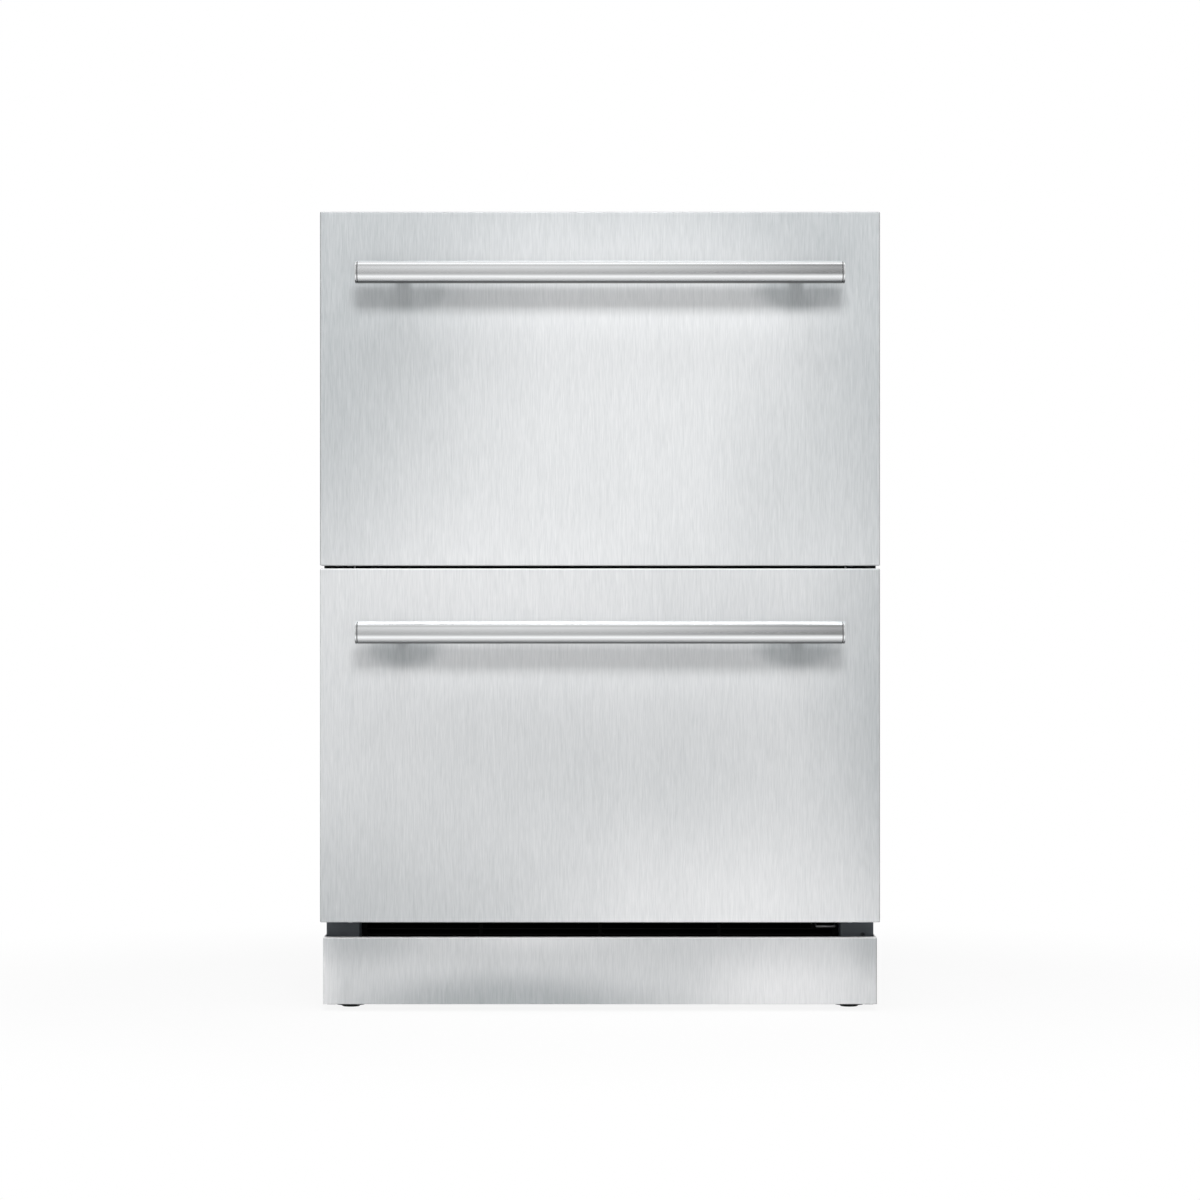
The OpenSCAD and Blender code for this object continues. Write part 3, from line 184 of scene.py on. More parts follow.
# grain runs along the long side of each stretched noise, in patterns per metre
brushed = dict(
    fine=(1350, 72.0), middle=(640, 28.8), broad=(14, 0.9), shares=(0.52, 0.33, 0.15),
    light=0.97, dark=0.45, coolness=0.012, contrast=0.64, roughness=0.5, metal=0.5,
    depth=0.00002)
# marks painted on: painted shade and painted highlight at the folds, painted shade under the tubes,
# and a dark joint where a tube's cap begins
marks = dict(
    fold=(1.3 * mm, 0.5 * mm), undersideShadeSpan=(-0.88, -0.70), undersideShadeTone=0.15, between=10 * mm,
    cap=(0.3 * mm, 0.7 * mm), capShare=0.9, capTone=0.03, capInset=2.75 * mm)


def brushedSteel(name, along, tone=1.0, paintedSheens=(), roughness=brushed["roughness"],
                 metal=brushed["metal"], contrast=brushed["contrast"],
                 shades=(brushed["dark"], brushed["light"]), paintedUndersideShade=(), edges=(), joint=0.0):
    steel = Surface(name)
    def noiseOf(band, detail):
        across, length = brushed[band]
        return steel.noise(tuple(length if axis == along else across for axis in "XYZ"), detail)
    fineShare, middleShare, broadShare = brushed["shares"]
    grain = (noiseOf("fine", 1.0) * fineShare + noiseOf("middle", 2.0) * middleShare
             + noiseOf("broad", 1.0) * broadShare)
    grainAndPaintedSheen = 0.5
    # painted sheen and painted shade: each oval lightens or darkens the steel's colour; the grain
    # is added after
    for middle, size, amount in paintedSheens:
        grainAndPaintedSheen = steel.patch(middle, size) * amount + grainAndPaintedSheen
    if paintedSheens:
        grainAndPaintedSheen = steel.spread(grainAndPaintedSheen, 0.0, 1.0, 0.1, 0.9)
    grainAndPaintedSheen = (grain - 0.5) * contrast + grainAndPaintedSheen
    dark, light, cool = shades[0] * tone, shades[1] * tone, brushed["coolness"]
    colour = steel.blendOf(grainAndPaintedSheen, (dark - 2 * cool, dark, dark + cool),
                           (light, light, light + cool * 0.6))
    place = steel.add("ShaderNodeSeparateXYZ", {}, {"Vector": steel.place})
    if paintedUndersideShade:  # painted shade: the tubes are darkened underneath, a painted reflection of the front's shade below them
        radius, low, high = paintedUndersideShade
        height, middle = place.other("Z"), (low + high) / 2
        above = height - steel.spread(
            height, middle - marks["between"], middle + marks["between"], low, high)
        start, end = [share * radius for share in marks["undersideShadeSpan"]]
        colour = steel.blendOf(steel.spread(above, start, end), marks["undersideShadeTone"], colour)
    if joint:  # a dark line around the tube where its cap begins
        line = steel.spread(abs(abs(place) - joint), *marks["cap"], marks["capShare"], 0.0)
        colour = steel.blendOf(line, colour, marks["capTone"])
    for axis, side, limit, share, shade in edges:  # painted shade and painted highlight: a band along each listed fold is blended darker or paler than the face
        start, end = [limit - inset for inset in marks["fold"]]
        beyond = steel.spread(place.other(axis) * side, start, end, 0, share)
        colour = steel.blendOf(beyond, colour, shade)
    return steel.finish(
        Base_Color=colour, Metallic=metal, Roughness=grain * 0.1 + (roughness - 0.05),
        Normal=steel.bump(grain, brushed["depth"], 0.5))


# painted sheen and painted shade on the steel, as (place, size, amount): ovals that lighten or
# darken its colour
# painted shadow: a darker oval on each front under each handle post
postPaintedShadow = ((0.055, 0.026), -0.75)
upperPaintedSheen = [
    ((-0.36, 0.76), (0.32, 0.40), -0.56), ((0.37, 0.72), (0.20, 0.44), -0.62),
    ((0.06, 0.92), (0.80, 0.15), -0.36), ((0.26, 0.86), (0.20, 0.12), -0.22),
    ((0.19, 0.58), (0.10, 0.20), -0.13), ((-0.10, 0.45), (0.24, 0.14), 0.10),
    ((-0.212, 0.780), *postPaintedShadow), ((0.212, 0.780), *postPaintedShadow)]
lowerPaintedSheen = [
    ((-0.12, 0.45), (0.28, 0.12), 0.12), ((0.35, 0.36), (0.15, 0.36), -0.46),
    ((-0.30, 0.08), (0.34, 0.20), -0.20), ((0.14, 0.06), (0.26, 0.20), 0.26),
    ((0.0, 0.26), (0.30, 0.10), -0.06),
    ((-0.212, 0.393), *postPaintedShadow), ((0.212, 0.393), *postPaintedShadow)]
kickPaintedSheen = [
    ((-0.305, 0.02), (0.03, 0.10), 0.30), ((-0.10, 0.0), (0.22, 0.055), -0.60),
    ((-0.07, 0.085), (0.13, 0.03), 0.18), ((-0.26, 0.075), (0.09, 0.035), -0.18),
    ((0.20, 0.02), (0.13, 0.075), 0.34), ((0.315, 0.08), (0.07, 0.06), -0.34)]
# edges below: painted shade along the fronts' side and top folds, and a painted highlight along the
# toe kick's top fold
fold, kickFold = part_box("upper_front_skin")[1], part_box("toe_kick")[1]
# the upper front, lower front and toe kick are one steel; the lower front's and toe kick's darker
# tones are painted shade
brushedSteel("upperSteel", "Z", tone=0.985, paintedSheens=upperPaintedSheen, edges=(
    ("X", 1, fold.x, 0.5, 0.15), ("X", -1, fold.x, 0.5, 0.15), ("Z", 1, fold.z, 0.35, 0.2)))
brushedSteel("lowerSteel", "Z", paintedSheens=lowerPaintedSheen, tone=0.945, edges=(
    ("X", 1, fold.x, 0.5, 0.15), ("X", -1, fold.x, 0.15, 0.15)))
brushedSteel("kickSteel", "Z", paintedSheens=kickPaintedSheen, tone=0.905, edges=(
    ("X", 1, kickFold.x, 0.5, 0.15), ("Z", 1, kickFold.z, 0.7, 1.0)))
brushedSteel("plainSteel", "Y", tone=0.9)
# the handle steel gets a dark joint at each cap and painted shade on the tubes' undersides
low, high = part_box("lower_handle_bar")
upperLow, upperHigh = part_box("upper_handle_bar")
brushedSteel("handleSteel", "X", roughness=0.17, metal=1.0, contrast=0.7, shades=(0.82, 0.98),
             joint=upperHigh.x - marks["capInset"],
             paintedUndersideShade=((high.z - low.z) / 2, (low.z + high.z) / 2,
                         (upperLow.z + upperHigh.z) / 2))


def paintedSheet(name, colour, roughness=0.42, gloss=0.5):
    paint = Surface(name)
    peel = paint.noise(900, 2.0)
    wash = paint.noise(5, 3.0)
    tint = paint.blendOf(wash, [c * 0.92 for c in colour], [c * 1.07 for c in colour])
    return paint.finish(Base_Color=tint, Roughness=peel * 0.1 + (roughness - 0.05),
                        Coat_Weight=0.3 * gloss, Coat_Roughness=0.3, Specular_IOR_Level=gloss,
                        Normal=paint.bump(peel, 0.00003, 0.6))


paintedSheet("cabinetPaint", (0.33, 0.34, 0.35))
paintedSheet("blackPaint", (0.007, 0.007, 0.0075), 0.5, 0.1)
paintedSheet("motorPaint", (0.3, 0.3, 0.31))


def zinc(name):
    sheet = Surface(name)
    flakes = sheet.add("ShaderNodeTexVoronoi", dict(feature="F1"),
                       {"Vector": sheet.place, "Scale": 95.0}, "Color")
    flake = sheet.add("ShaderNodeSeparateColor", {}, {"Color": flakes})
    streak = sheet.noise((60, 60, 4), 3.0)
    share = flake * 0.6 + streak * 0.4
    return sheet.finish(Base_Color=sheet.blendOf(share, (0.5, 0.52, 0.54), (0.68, 0.69, 0.70)),
                        Metallic=1.0, Roughness=share * 0.2 + 0.32,
                        Normal=sheet.bump(share, 0.00003, 0.4))


zinc("zincSheet")


def plastic(name, colour, grain=1400, roughness=0.42, depth=0.00003, worn=0.06, gloss=0.5):
    part = Surface(name)
    leather = part.noise(grain, 3.0, 0.6)
    wash = part.noise(11, 3.0)
    tint = part.blendOf(wash, [c * (1 - worn) for c in colour],
                        [min(1, c * (1 + worn)) for c in colour])
    return part.finish(Base_Color=tint, Roughness=leather * 0.14 + (roughness - 0.07),
                       Specular_IOR_Level=gloss, Normal=part.bump(leather, depth, 0.5))


plastic("linerPlastic", (0.84, 0.85, 0.85), 500, 0.36, worn=0.02)
plastic("slatePlastic", (0.082, 0.095, 0.108), 1300, 0.5)
plastic("blackPlastic", (0.012, 0.012, 0.013), 1500, 0.5, gloss=0.2)
plastic("grillePlastic", (0.003, 0.003, 0.003), 1500, 0.5, gloss=0.1)
plastic("gasketRubber", (0.004, 0.004, 0.004), 700, 0.62, gloss=0.1)
plastic("dividerPlastic", (0.74, 0.77, 0.79), 300, 0.25, worn=0.02)
plastic("lampCover", (0.93, 0.93, 0.91), 700, 0.4, worn=0.01)
plastic("foamCore", (0.80, 0.70, 0.48), 260, 0.9, 0.0003, 0.12)


def plainMetal(name, low, high, roughness, scale=700):
    metal = Surface(name)
    cloud = metal.noise(scale, 3.0)
    stain = metal.noise(24, 4.0)
    share = cloud * 0.5 + stain * 0.5
    return metal.finish(Base_Color=metal.blendOf(share, low, high), Metallic=1.0,
                        Roughness=share * 0.16 + (roughness - 0.08),
                        Normal=metal.bump(cloud, 0.00001, 0.5))


plainMetal("slideSteel", (0.48, 0.50, 0.53), (0.68, 0.70, 0.73), 0.28)
plainMetal("screwSteel", (0.42, 0.42, 0.43), (0.62, 0.62, 0.63), 0.3)
plainMetal("copperTube", (0.55, 0.24, 0.13), (0.85, 0.46, 0.30), 0.3)
plainMetal("finAluminium", (0.62, 0.63, 0.64), (0.80, 0.81, 0.82), 0.34)
plainMetal("buttonMetal", (0.62, 0.62, 0.62), (0.78, 0.78, 0.78), 0.25)


def glass(name):
    pane = Surface(name)
    smear = pane.noise(60, 4.0)
    return pane.finish(Base_Color=pane.blendOf(smear, (0.008, 0.009, 0.012), (0.014, 0.015, 0.02)),
                       Roughness=smear * 0.1 + 0.03, Coat_Weight=1.0)


glass("displayGlass")

print("surfaces ready:", len(surfaces))

# ---- shapes ----

slots = {part["node"]: part["material_slot"] for part in frame["record"]["subparts"]}
weld = 1e-6  # corners of a CAD node's loose triangles closer than this are one corner


def meshOf(shape, name="piece"):  # a shape turned into a mesh, its faces outward
    mesh = bpy.data.meshes.new(name)
    bmesh.ops.recalc_face_normals(shape, faces=shape.faces)
    shape.to_mesh(mesh)
    shape.free()
    return mesh


def merged(*meshes):  # several meshes as one shape
    shape = bmesh.new()
    for mesh in meshes:
        shape.from_mesh(mesh)
    return shape


def joined(*meshes):  # several meshes as one, their faces as they are
    mesh = bpy.data.meshes.new("joined")
    shape = merged(*meshes)
    shape.to_mesh(mesh)
    shape.free()
    return mesh


def smoothed(mesh, angle=35):
    mesh.shade_smooth()
    mesh.set_sharp_from_angle(angle=math.radians(angle))
    return mesh


def holderOf(data, name):  # an object in the scene that holds a mesh or a lamp
    holder = bpy.data.objects.new(name, data)
    bpy.context.scene.collection.objects.link(holder)
    return holder


def worked(holder):  # the mesh that a holder's modifiers make; the holder goes
    bpy.context.view_layer.update()
    ready = bpy.data.meshes.new_from_object(
        holder.evaluated_get(bpy.context.evaluated_depsgraph_get()))
    bpy.data.objects.remove(holder)
    return ready


def welded(node):  # a copy of a CAD node with its triangles joined
    shape = merged(frame["nodes"][node].data)
    bmesh.ops.remove_doubles(shape, verts=shape.verts, dist=weld)
    return shape


def solidParts(node):  # each closed part of a CAD node, as its lowest and highest corners
    shape = welded(node)
    waiting, parts = set(shape.verts), []
    while waiting:
        todo, part = [waiting.pop()], []
        while todo:
            vertex = todo.pop()
            part.append(vertex.co.copy())
            for edge in vertex.link_edges:
                other = edge.other_vert(vertex)
                if other in waiting:
                    waiting.remove(other)
                    todo.append(other)
        parts.append((Vector([min(p[k] for p in part) for k in range(3)]),
                      Vector([max(p[k] for p in part) for k in range(3)])))
    shape.free()
    return sorted(parts, key=lambda part: tuple(part[0]))


def keepPiece(name, mesh, body, slot, surface, *nodes):
    item = holderOf(mesh, name)
    mesh.materials.clear()
    mesh.materials.append(surfaces[surface])
    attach(item, body)
    if nodes:
        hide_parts(*nodes)
    return item


easing = dict(segments=2, limit=30, flat=0.5)


def smoothMesh(shape, name, width=0.0, sharp=40):  # smooth shading, with edges eased by a width
    mesh = meshOf(shape, name)
    mesh.shade_smooth()
    holder = holderOf(mesh, name)
    if width:
        bevel = holder.modifiers.new("Edges", "BEVEL")
        bevel.width, bevel.segments = width, easing["segments"]
        bevel.limit_method, bevel.angle_limit = "ANGLE", math.radians(easing["limit"])
        bevel.miter_outer = "MITER_ARC"
    flat = holder.modifiers.new("Flat", "WEIGHTED_NORMAL")
    flat.keep_sharp = True
    mesh.set_sharp_from_angle(angle=math.radians(180 if width else sharp))
    ready = worked(holder)
    ready.name = name
    return ready


# a whole face round many holes tears when its edges are eased, so these keep their triangles
pierced = ("base_pan", "evaporator_cover")


def cadShape(node):  # a welded copy of a CAD node, with whole flat faces unless it is pierced
    shape = welded(node)
    if node not in pierced:
        bmesh.ops.dissolve_limit(shape, angle_limit=math.radians(easing["flat"]),
                                 verts=shape.verts, edges=shape.edges)
    return shape


def dressed(node, surface, width):  # a CAD node with its edges eased
    return keepPiece(node + "_dressed", smoothMesh(cadShape(node), node, width),
                     frame["nodes"][node]["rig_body"], slots[node], surface, node)


def blockShape(low, high, shape=None):
    shape = shape or bmesh.new()
    middle, size = (Vector(low) + Vector(high)) / 2, Vector(high) - Vector(low)
    bmesh.ops.create_cube(
        shape, size=1, matrix=Matrix.Translation(middle) @ Matrix.Diagonal((*size, 1)))
    return shape


def rounded(points, radius, steps=3, closed=False):  # a line of points with its corners rounded
    line = []
    for k, point in enumerate(points):
        here = Vector(point)
        if not closed and k in (0, len(points) - 1):
            line.append(here)
            continue
        before, after = Vector(points[k - 1]) - here, Vector(points[(k + 1) % len(points)]) - here
        start = here + before.normalized() * min(radius, before.length * 0.45)
        end = here + after.normalized() * min(radius, after.length * 0.45)
        for step in range(steps + 1):
            share = step / steps
            line.append(start * (1 - share) ** 2 + here * 2 * share * (1 - share)
                        + end * share ** 2)
    return line


facings = dict(XY=lambda a, b, c: (a, b, c), XZ=lambda a, b, c: (a, c, b),
               YZ=lambda a, b, c: (c, a, b))


def roundedLoop(low, high, corner, level, plane="XY", steps=6):
    # a rectangle with rounded corners; low and high are in the named plane
    corner = max(corner, 1e-5)
    points = []
    middles = ((high[0] - corner, high[1] - corner), (low[0] + corner, high[1] - corner),
               (low[0] + corner, low[1] + corner), (high[0] - corner, low[1] + corner))
    for quarter, (a, b) in enumerate(middles):
        for step in range(steps + 1):
            angle = (quarter + step / steps) * math.pi / 2
            points.append(facings[plane](a + corner * math.cos(angle),
                                         b + corner * math.sin(angle), level))
    return points


def loft(shape, loops, ring=False):  # walls between loops of equal length
    rows = [[shape.verts.new(point) for point in loop] for loop in loops]
    count = len(rows[0])
    for low, high in zip(rows, rows[1:] + ([rows[0]] if ring else [])):
        for k in range(count):
            n = (k + 1) % count
            shape.faces.new((low[k], low[n], high[n], high[k]))
    if not ring:
        shape.faces.new(rows[0][::-1])
        shape.faces.new(rows[-1])
    return shape


def turned(shape, profile, centre, axis="Z", steps=32, ring=False):
    # a lathed part: the profile is a list of (place along the axis, radius)
    order = dict(X=lambda a, u, v: (a, u, v), Y=lambda a, u, v: (v, a, u),
                 Z=lambda a, u, v: (u, v, a))[axis]
    rows = []
    for along, radius in profile:
        count = 1 if radius < 1e-7 else steps
        rows.append([shape.verts.new(Vector(centre) + Vector(order(
            along, radius * math.cos(2 * math.pi * k / steps),
            radius * math.sin(2 * math.pi * k / steps)))) for k in range(count)])
    for low, high in zip(rows, rows[1:] + ([rows[0]] if ring else [])):
        for k in range(steps):
            n = k + 1
            corners = dict.fromkeys((low[k % len(low)], low[n % len(low)],
                                     high[n % len(high)], high[k % len(high)]))
            if len(corners) > 2:
                shape.faces.new(list(corners))
    for row, end in ((rows[0], -1), (rows[-1], 1)):
        if len(row) > 1 and not ring:
            shape.faces.new(row[::end])
    return shape


def prism(outline, start, end):  # an outline seen from the front, pushed from front to back
    return loft(bmesh.new(), [[(x, y, z) for x, z in outline] for y in (start, end)])


# ---- trees that repeat a shape or follow a line ----

class Grown(Sheet):
    def __init__(self, name):
        self.name = name
        super().__init__(bpy.data.node_groups.new(name, "GeometryNodeTree"))
        self.face = self.tree.interface
        self.entry = self.tree.nodes.new("NodeGroupInput")
        self.seed = self.size("Seed", "Geometry")

    def size(self, name, kind="Float"):  # a named input of the tree
        self.face.new_socket(name, in_out="INPUT", socket_type="NodeSocket" + kind)
        return Wire(self, socketOf(self.entry.outputs, name))

    def finish(self, geometry):
        self.face.new_socket("Result", in_out="OUTPUT", socket_type="NodeSocketGeometry")
        whole = self.add("GeometryNodeRealizeInstances", {}, {"Geometry": geometry})
        coated = self.add("GeometryNodeSetMaterial", {}, {
            "Geometry": whole, "Material": self.size("Finish", "Material")})
        self.add("NodeGroupOutput", {}, {"Result": coated})
        trees[self.name] = self.tree


trees = {}


def grow(tree, seed, finish, **sizes):  # the mesh that a tree makes from a seed shape
    mesh = meshOf(seed, tree) if isinstance(seed, bmesh.types.BMesh) else seed
    holder = holderOf(mesh, tree)
    nodes = holder.modifiers.new("Tree", "NODES")
    nodes.node_group = trees[tree]
    for entry in trees[tree].interface.items_tree:
        if entry.item_type == "SOCKET" and entry.in_out == "INPUT":
            if entry.name == "Finish":
                nodes[entry.identifier] = surfaces[finish]
            elif entry.name in sizes:
                nodes[entry.identifier] = sizes[entry.name]
    return worked(holder)


def rowTree():  # copies of the seed, a step apart
    tree = Grown("row")
    line = tree.add("GeometryNodeMeshLine", dict(mode="OFFSET"), {
        "Count": tree.size("Count", "Int"), "Start Location": (0, 0, 0),
        "Offset": tree.size("Step", "Vector")})
    tree.finish(tree.add("GeometryNodeInstanceOnPoints", {}, {
        "Points": line, "Instance": tree.seed}))


def wheelTree():  # copies of the seed, turned about an axis
    tree = Grown("wheel")
    count = tree.size("Count", "Int")
    line = tree.add("GeometryNodeMeshLine", dict(mode="OFFSET"), {
        "Count": count, "Start Location": tree.size("Centre", "Vector"), "Offset": (0, 0, 0)})
    turn = tree.add("GeometryNodeInputIndex") * (2 * math.pi) / count
    axis = tree.size("Axis", "Vector")
    tree.finish(tree.add("GeometryNodeInstanceOnPoints", {}, {
        "Points": line, "Instance": tree.seed,
        "Rotation": tree.add("ShaderNodeVectorMath", dict(operation="SCALE"), {
            0: axis, "Scale": turn})}))


def pinsTree():  # a fastener at each point of the seed, its head facing the point's way
    tree = Grown("pins")
    facing = tree.add("GeometryNodeInputNamedAttribute", dict(data_type="FLOAT_VECTOR"), {
        "Name": "facing"})
    turn = tree.add("FunctionNodeAlignRotationToVector", dict(axis="Z"), {"Vector": facing})
    head = tree.add("GeometryNodeObjectInfo", {}, {"Object": tree.size("Pin", "Object")},
                    "Geometry")
    tree.finish(tree.add("GeometryNodeInstanceOnPoints", {}, {
        "Points": tree.add("GeometryNodeMeshToPoints", {}, {"Mesh": tree.seed}),
        "Instance": head, "Rotation": turn}))


def pipeTree():  # a round bar along the seed's lines, with its corners bent
    tree = Grown("pipe")
    curve = tree.add("GeometryNodeFilletCurve", dict(mode="POLY"), {
        "Curve": tree.add("GeometryNodeMeshToCurve", {}, {"Mesh": tree.seed}),
        "Count": tree.size("Bend Steps", "Int"), "Radius": tree.size("Bend"),
        "Limit Radius": True})
    section = tree.add("GeometryNodeCurvePrimitiveCircle", {}, {
        "Resolution": tree.size("Sides", "Int"), "Radius": tree.size("Radius")})
    tree.finish(tree.add("GeometryNodeSetShadeSmooth", {}, {
        "Geometry": tree.add("GeometryNodeCurveToMesh", {}, {
            "Curve": curve, "Profile Curve": section, "Fill Caps": True})}))


def threadTree():  # a screw thread wound on the seed's stem
    tree = Grown("thread")
    coil = tree.add("GeometryNodeCurveSpiral", {}, {
        "Resolution": 18, "Rotations": tree.size("Turns"), "Start Radius": tree.size("Radius"),
        "End Radius": tree.size("End Radius"), "Height": tree.size("Height"), "Reverse": False})
    section = tree.add("GeometryNodeCurvePrimitiveCircle", {}, {
        "Resolution": 5, "Radius": tree.size("Depth")})
    wound = tree.add("GeometryNodeTransform", {}, {
        "Geometry": tree.add("GeometryNodeCurveToMesh", {}, {
            "Curve": coil, "Profile Curve": section, "Fill Caps": True}),
        "Translation": tree.size("Base", "Vector")})
    screw = tree.add("GeometryNodeJoinGeometry", {}, {"Geometry": tree.seed})
    tree.tree.links.new(wound.socket, screw.socket.node.inputs[0])
    tree.finish(screw)


for build in (rowTree, wheelTree, pinsTree, pipeTree, threadTree):
    build()
print("trees ready:", len(trees))


def lines(*paths):  # a seed of bare edges, one chain of points for each path
    shape = bmesh.new()
    for path in paths:
        row = [shape.verts.new(point) for point in path]
        for low, high in zip(row, row[1:]):
            shape.edges.new((low, high))
    return shape


# ---- drawer fronts ----

skin = dict(thickness=1 * mm, corner=1.3 * mm, steps=4)


def foldedTray(name, low, high, thickness, corner, steps):
    # a sheet folded back on four sides and open behind
    shape = blockShape(low, high)
    back = [face for face in shape.faces if face.normal.y > 0.9]
    bmesh.ops.delete(shape, geom=back, context="FACES")
    folds = [edge for edge in shape.edges if len(edge.link_faces) == 2]
    bmesh.ops.bevel(shape, geom=folds, offset=corner, segments=steps, profile=0.5,
                    affect="EDGES")
    mesh = meshOf(shape, name)
    mesh.shade_smooth()
    holder = holderOf(mesh, name)
    wall = holder.modifiers.new("Wall", "SOLIDIFY")
    wall.thickness, wall.offset = thickness, -1
    holder.modifiers.new("Flat", "WEIGHTED_NORMAL")
    return worked(holder)


for level in ("upper", "lower"):
    low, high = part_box(level + "_front_skin")
    keepPiece(level + "_steel_front", foldedTray(level, low, high, **skin),
              level + "_drawer", "stainless", level + "Steel", level + "_front_skin")

print("fronts ready")

# ---- handles ----

handle = dict(
    wall=1.6 * mm, capEdge=2.1 * mm, tubeEdge=0.35 * mm, cap=2.6 * mm, gap=0.3 * mm, steps=96,
    plug=1.75 * mm, plugLength=12 * mm, flange=1.6 * mm, groove=0.5 * mm, waist=0.6 * mm,
    neck=6 * mm, slope=0.4 * mm, neckInset=0.2 * mm, postEdge=0.35 * mm)


def handleShape(low, high):
    shape = bmesh.new()
    centre = (0, (low.y + high.y) / 2, (low.z + high.z) / 2)
    radius = (high.z - low.z) / 2
    tubeEnd = high.x - handle["cap"] - handle["gap"]
    inner = radius - handle["wall"]
    turned(shape, rounded([(-tubeEnd, radius), (tubeEnd, radius), (tubeEnd, inner),
                           (-tubeEnd, inner)], handle["tubeEdge"], 2, closed=True),
           centre, "X", handle["steps"], ring=True)
    for side in (-1, 1):
        face = high.x - handle["cap"]
        start, slim = face - handle["plugLength"], radius - handle["plug"]
        outline = rounded([(start, 0), (start, slim), (face, slim), (face, radius),
                           (high.x, radius), (high.x, 0)], handle["capEdge"], 5)
        turned(shape, [(side * start, 0)] + [(side * a, r) for a, r in outline[1:]], centre,
               "X", handle["steps"])
    return shape


def postShape(low, high):
    shape = bmesh.new()
    centre = ((low.x + high.x) / 2, 0, (low.z + high.z) / 2)
    radius = (high.x - low.x) / 2
    foot, slim = high.y, radius - handle["waist"]
    throat, neck = foot - handle["flange"], low.y + handle["neck"]
    end = radius - handle["neckInset"]
    turned(shape, rounded([
        (foot, 0), (foot, radius), (throat, radius), (throat - handle["groove"], slim),
        (neck + handle["slope"], slim), (neck, end), (low.y, end), (low.y, 0)],
        handle["postEdge"], 3), centre, "Y", 64)
    return shape


for level in ("upper", "lower"):
    keepPiece(level + "_handle_tube", smoothMesh(handleShape(*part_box(level + "_handle_bar")),
                                                 level + "Tube", sharp=35),
              level + "_drawer", "handle_steel", "handleSteel", level + "_handle_bar")
    posts = merged(*[meshOf(postShape(*part)) for part in solidParts(level + "_handle_posts")])
    keepPiece(level + "_handle_post_pair", smoothMesh(posts, level + "Posts", sharp=35),
              level + "_drawer", "handle_steel", "handleSteel", level + "_handle_posts")
print("handles ready")

# ---- gaskets: a soft bellows with a magnet pocket, mitred at the corners ----

# in millimetres, inward from the outer edge and back from the inner panel
bellows = [(3, 0), (3, 1.2), (0, 3.5), (0, 5), (2.5, 6.5), (2.5, 7.6), (0.6, 8.6), (0, 9.4),
           (0, 12.9), (0.8, 13.7), (12.4, 13.7), (13.2, 12.9), (13.2, 9.4), (12.4, 8.6),
           (9.5, 8.4), (9.5, 7.2), (13, 5.8), (17, 4.6), (17, 3.4), (13.5, 3.2), (10, 1.5),
           (10, 0)]

for level in ("upper", "lower"):
    low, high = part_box(level + "_gasket")
    shape = bmesh.new()
    loft(shape, [[(low.x + u, low.y + v, low.z + u), (high.x - u, low.y + v, low.z + u),
                  (high.x - u, low.y + v, high.z - u), (low.x + u, low.y + v, high.z - u)]
                 for u, v in [(p.x * mm, p.y * mm) for p in rounded(bellows, 0.5, 2, True)]],
         ring=True)
    keepPiece(level + "_door_seal", smoothMesh(shape, level + "Seal", sharp=50),
              level + "_drawer", "gasket_rubber", "gasketRubber", level + "_gasket")
print("gaskets ready")

# ---- screws ----

pin = dict(head=4.5 * mm, flange=0.5 * mm, dome=1.6 * mm, shank=1.9 * mm, length=8.6 * mm,
           recess=1.0 * mm, cross=2.5 * mm, bar=0.55 * mm)


def pinShape(head, dome, shank, length):
    # a pan head on a flange with a cross recess, its seat at zero and facing up Z
    shape = bmesh.new()
    turned(shape, rounded([
        (-length, 0), (-length, shank * 0.7), (1.0 * mm - length, shank), (0, shank), (0, head),
        (pin["flange"], head), (pin["flange"] + 0.1 * mm, head * 0.80), (dome * 0.8, head * 0.66),
        (dome, head * 0.42), (dome, 0)], 0.2 * mm, 2), (0, 0, 0), "Z", 24)
    holder = holderOf(meshOf(shape, "pin"), "pin")
    a, b = pin["bar"], pin["cross"]
    outline = [(a, a), (a, b), (-a, b), (-a, a), (-b, a), (-b, -a), (-a, -a), (-a, -b), (a, -b),
               (a, -a), (b, -a), (b, a)]
    cross = bmesh.new()
    loft(cross, [[(x * k, y * k, z) for x, y in outline]
                 for z, k in ((dome - pin["recess"], 0.45), (dome + 0.5 * mm, 1.12))])
    cutter = holderOf(meshOf(cross, "cross"), "cross")
    cut = holder.modifiers.new("Cross", "BOOLEAN")
    cut.operation, cut.object, cut.solver = "DIFFERENCE", cutter, "EXACT"
    template = holderOf(smoothed(worked(holder)), "template")
    bpy.data.objects.remove(cutter)
    return template


def pinned(template, places):  # one mesh with a fastener at each (seat, facing)
    seed = bpy.data.meshes.new("seats")
    seed.from_pydata([seat for seat, way in places], [], [])
    ways = seed.attributes.new("facing", "FLOAT_VECTOR", "POINT")
    for k, (seat, way) in enumerate(places):
        ways.data[k].vector = way
    return grow("pins", seed, "screwSteel", Pin=template)


def seatsOf(node, dome):  # where the CAD's screws stand, and which way their heads face
    places = []
    for low, high in solidParts(node):
        size, middle = high - low, (low + high) / 2
        if size.z > max(size.x, size.y):  # a flange screw up into a front's lower fold
            places.append(((middle.x, middle.y, low.z + dome), (0, 0, -1)))
        else:  # a screw of a handle or of the back panel
            places.append(((middle.x, high.y - dome, middle.z), (0, 1, 0)))
    return places


screwTemplate = pinShape(pin["head"], pin["dome"], pin["shank"], pin["length"])
for node, body in (("upper_front_screws", "upper_drawer"), ("lower_front_screws", "lower_drawer"),
                   ("cabinet_screws", "cabinet")):
    keepPiece(node + "_crossed", pinned(screwTemplate, seatsOf(node, pin["dome"])), body,
              "screw_steel", "screwSteel", node)
bpy.data.objects.remove(screwTemplate)
print("screws ready")

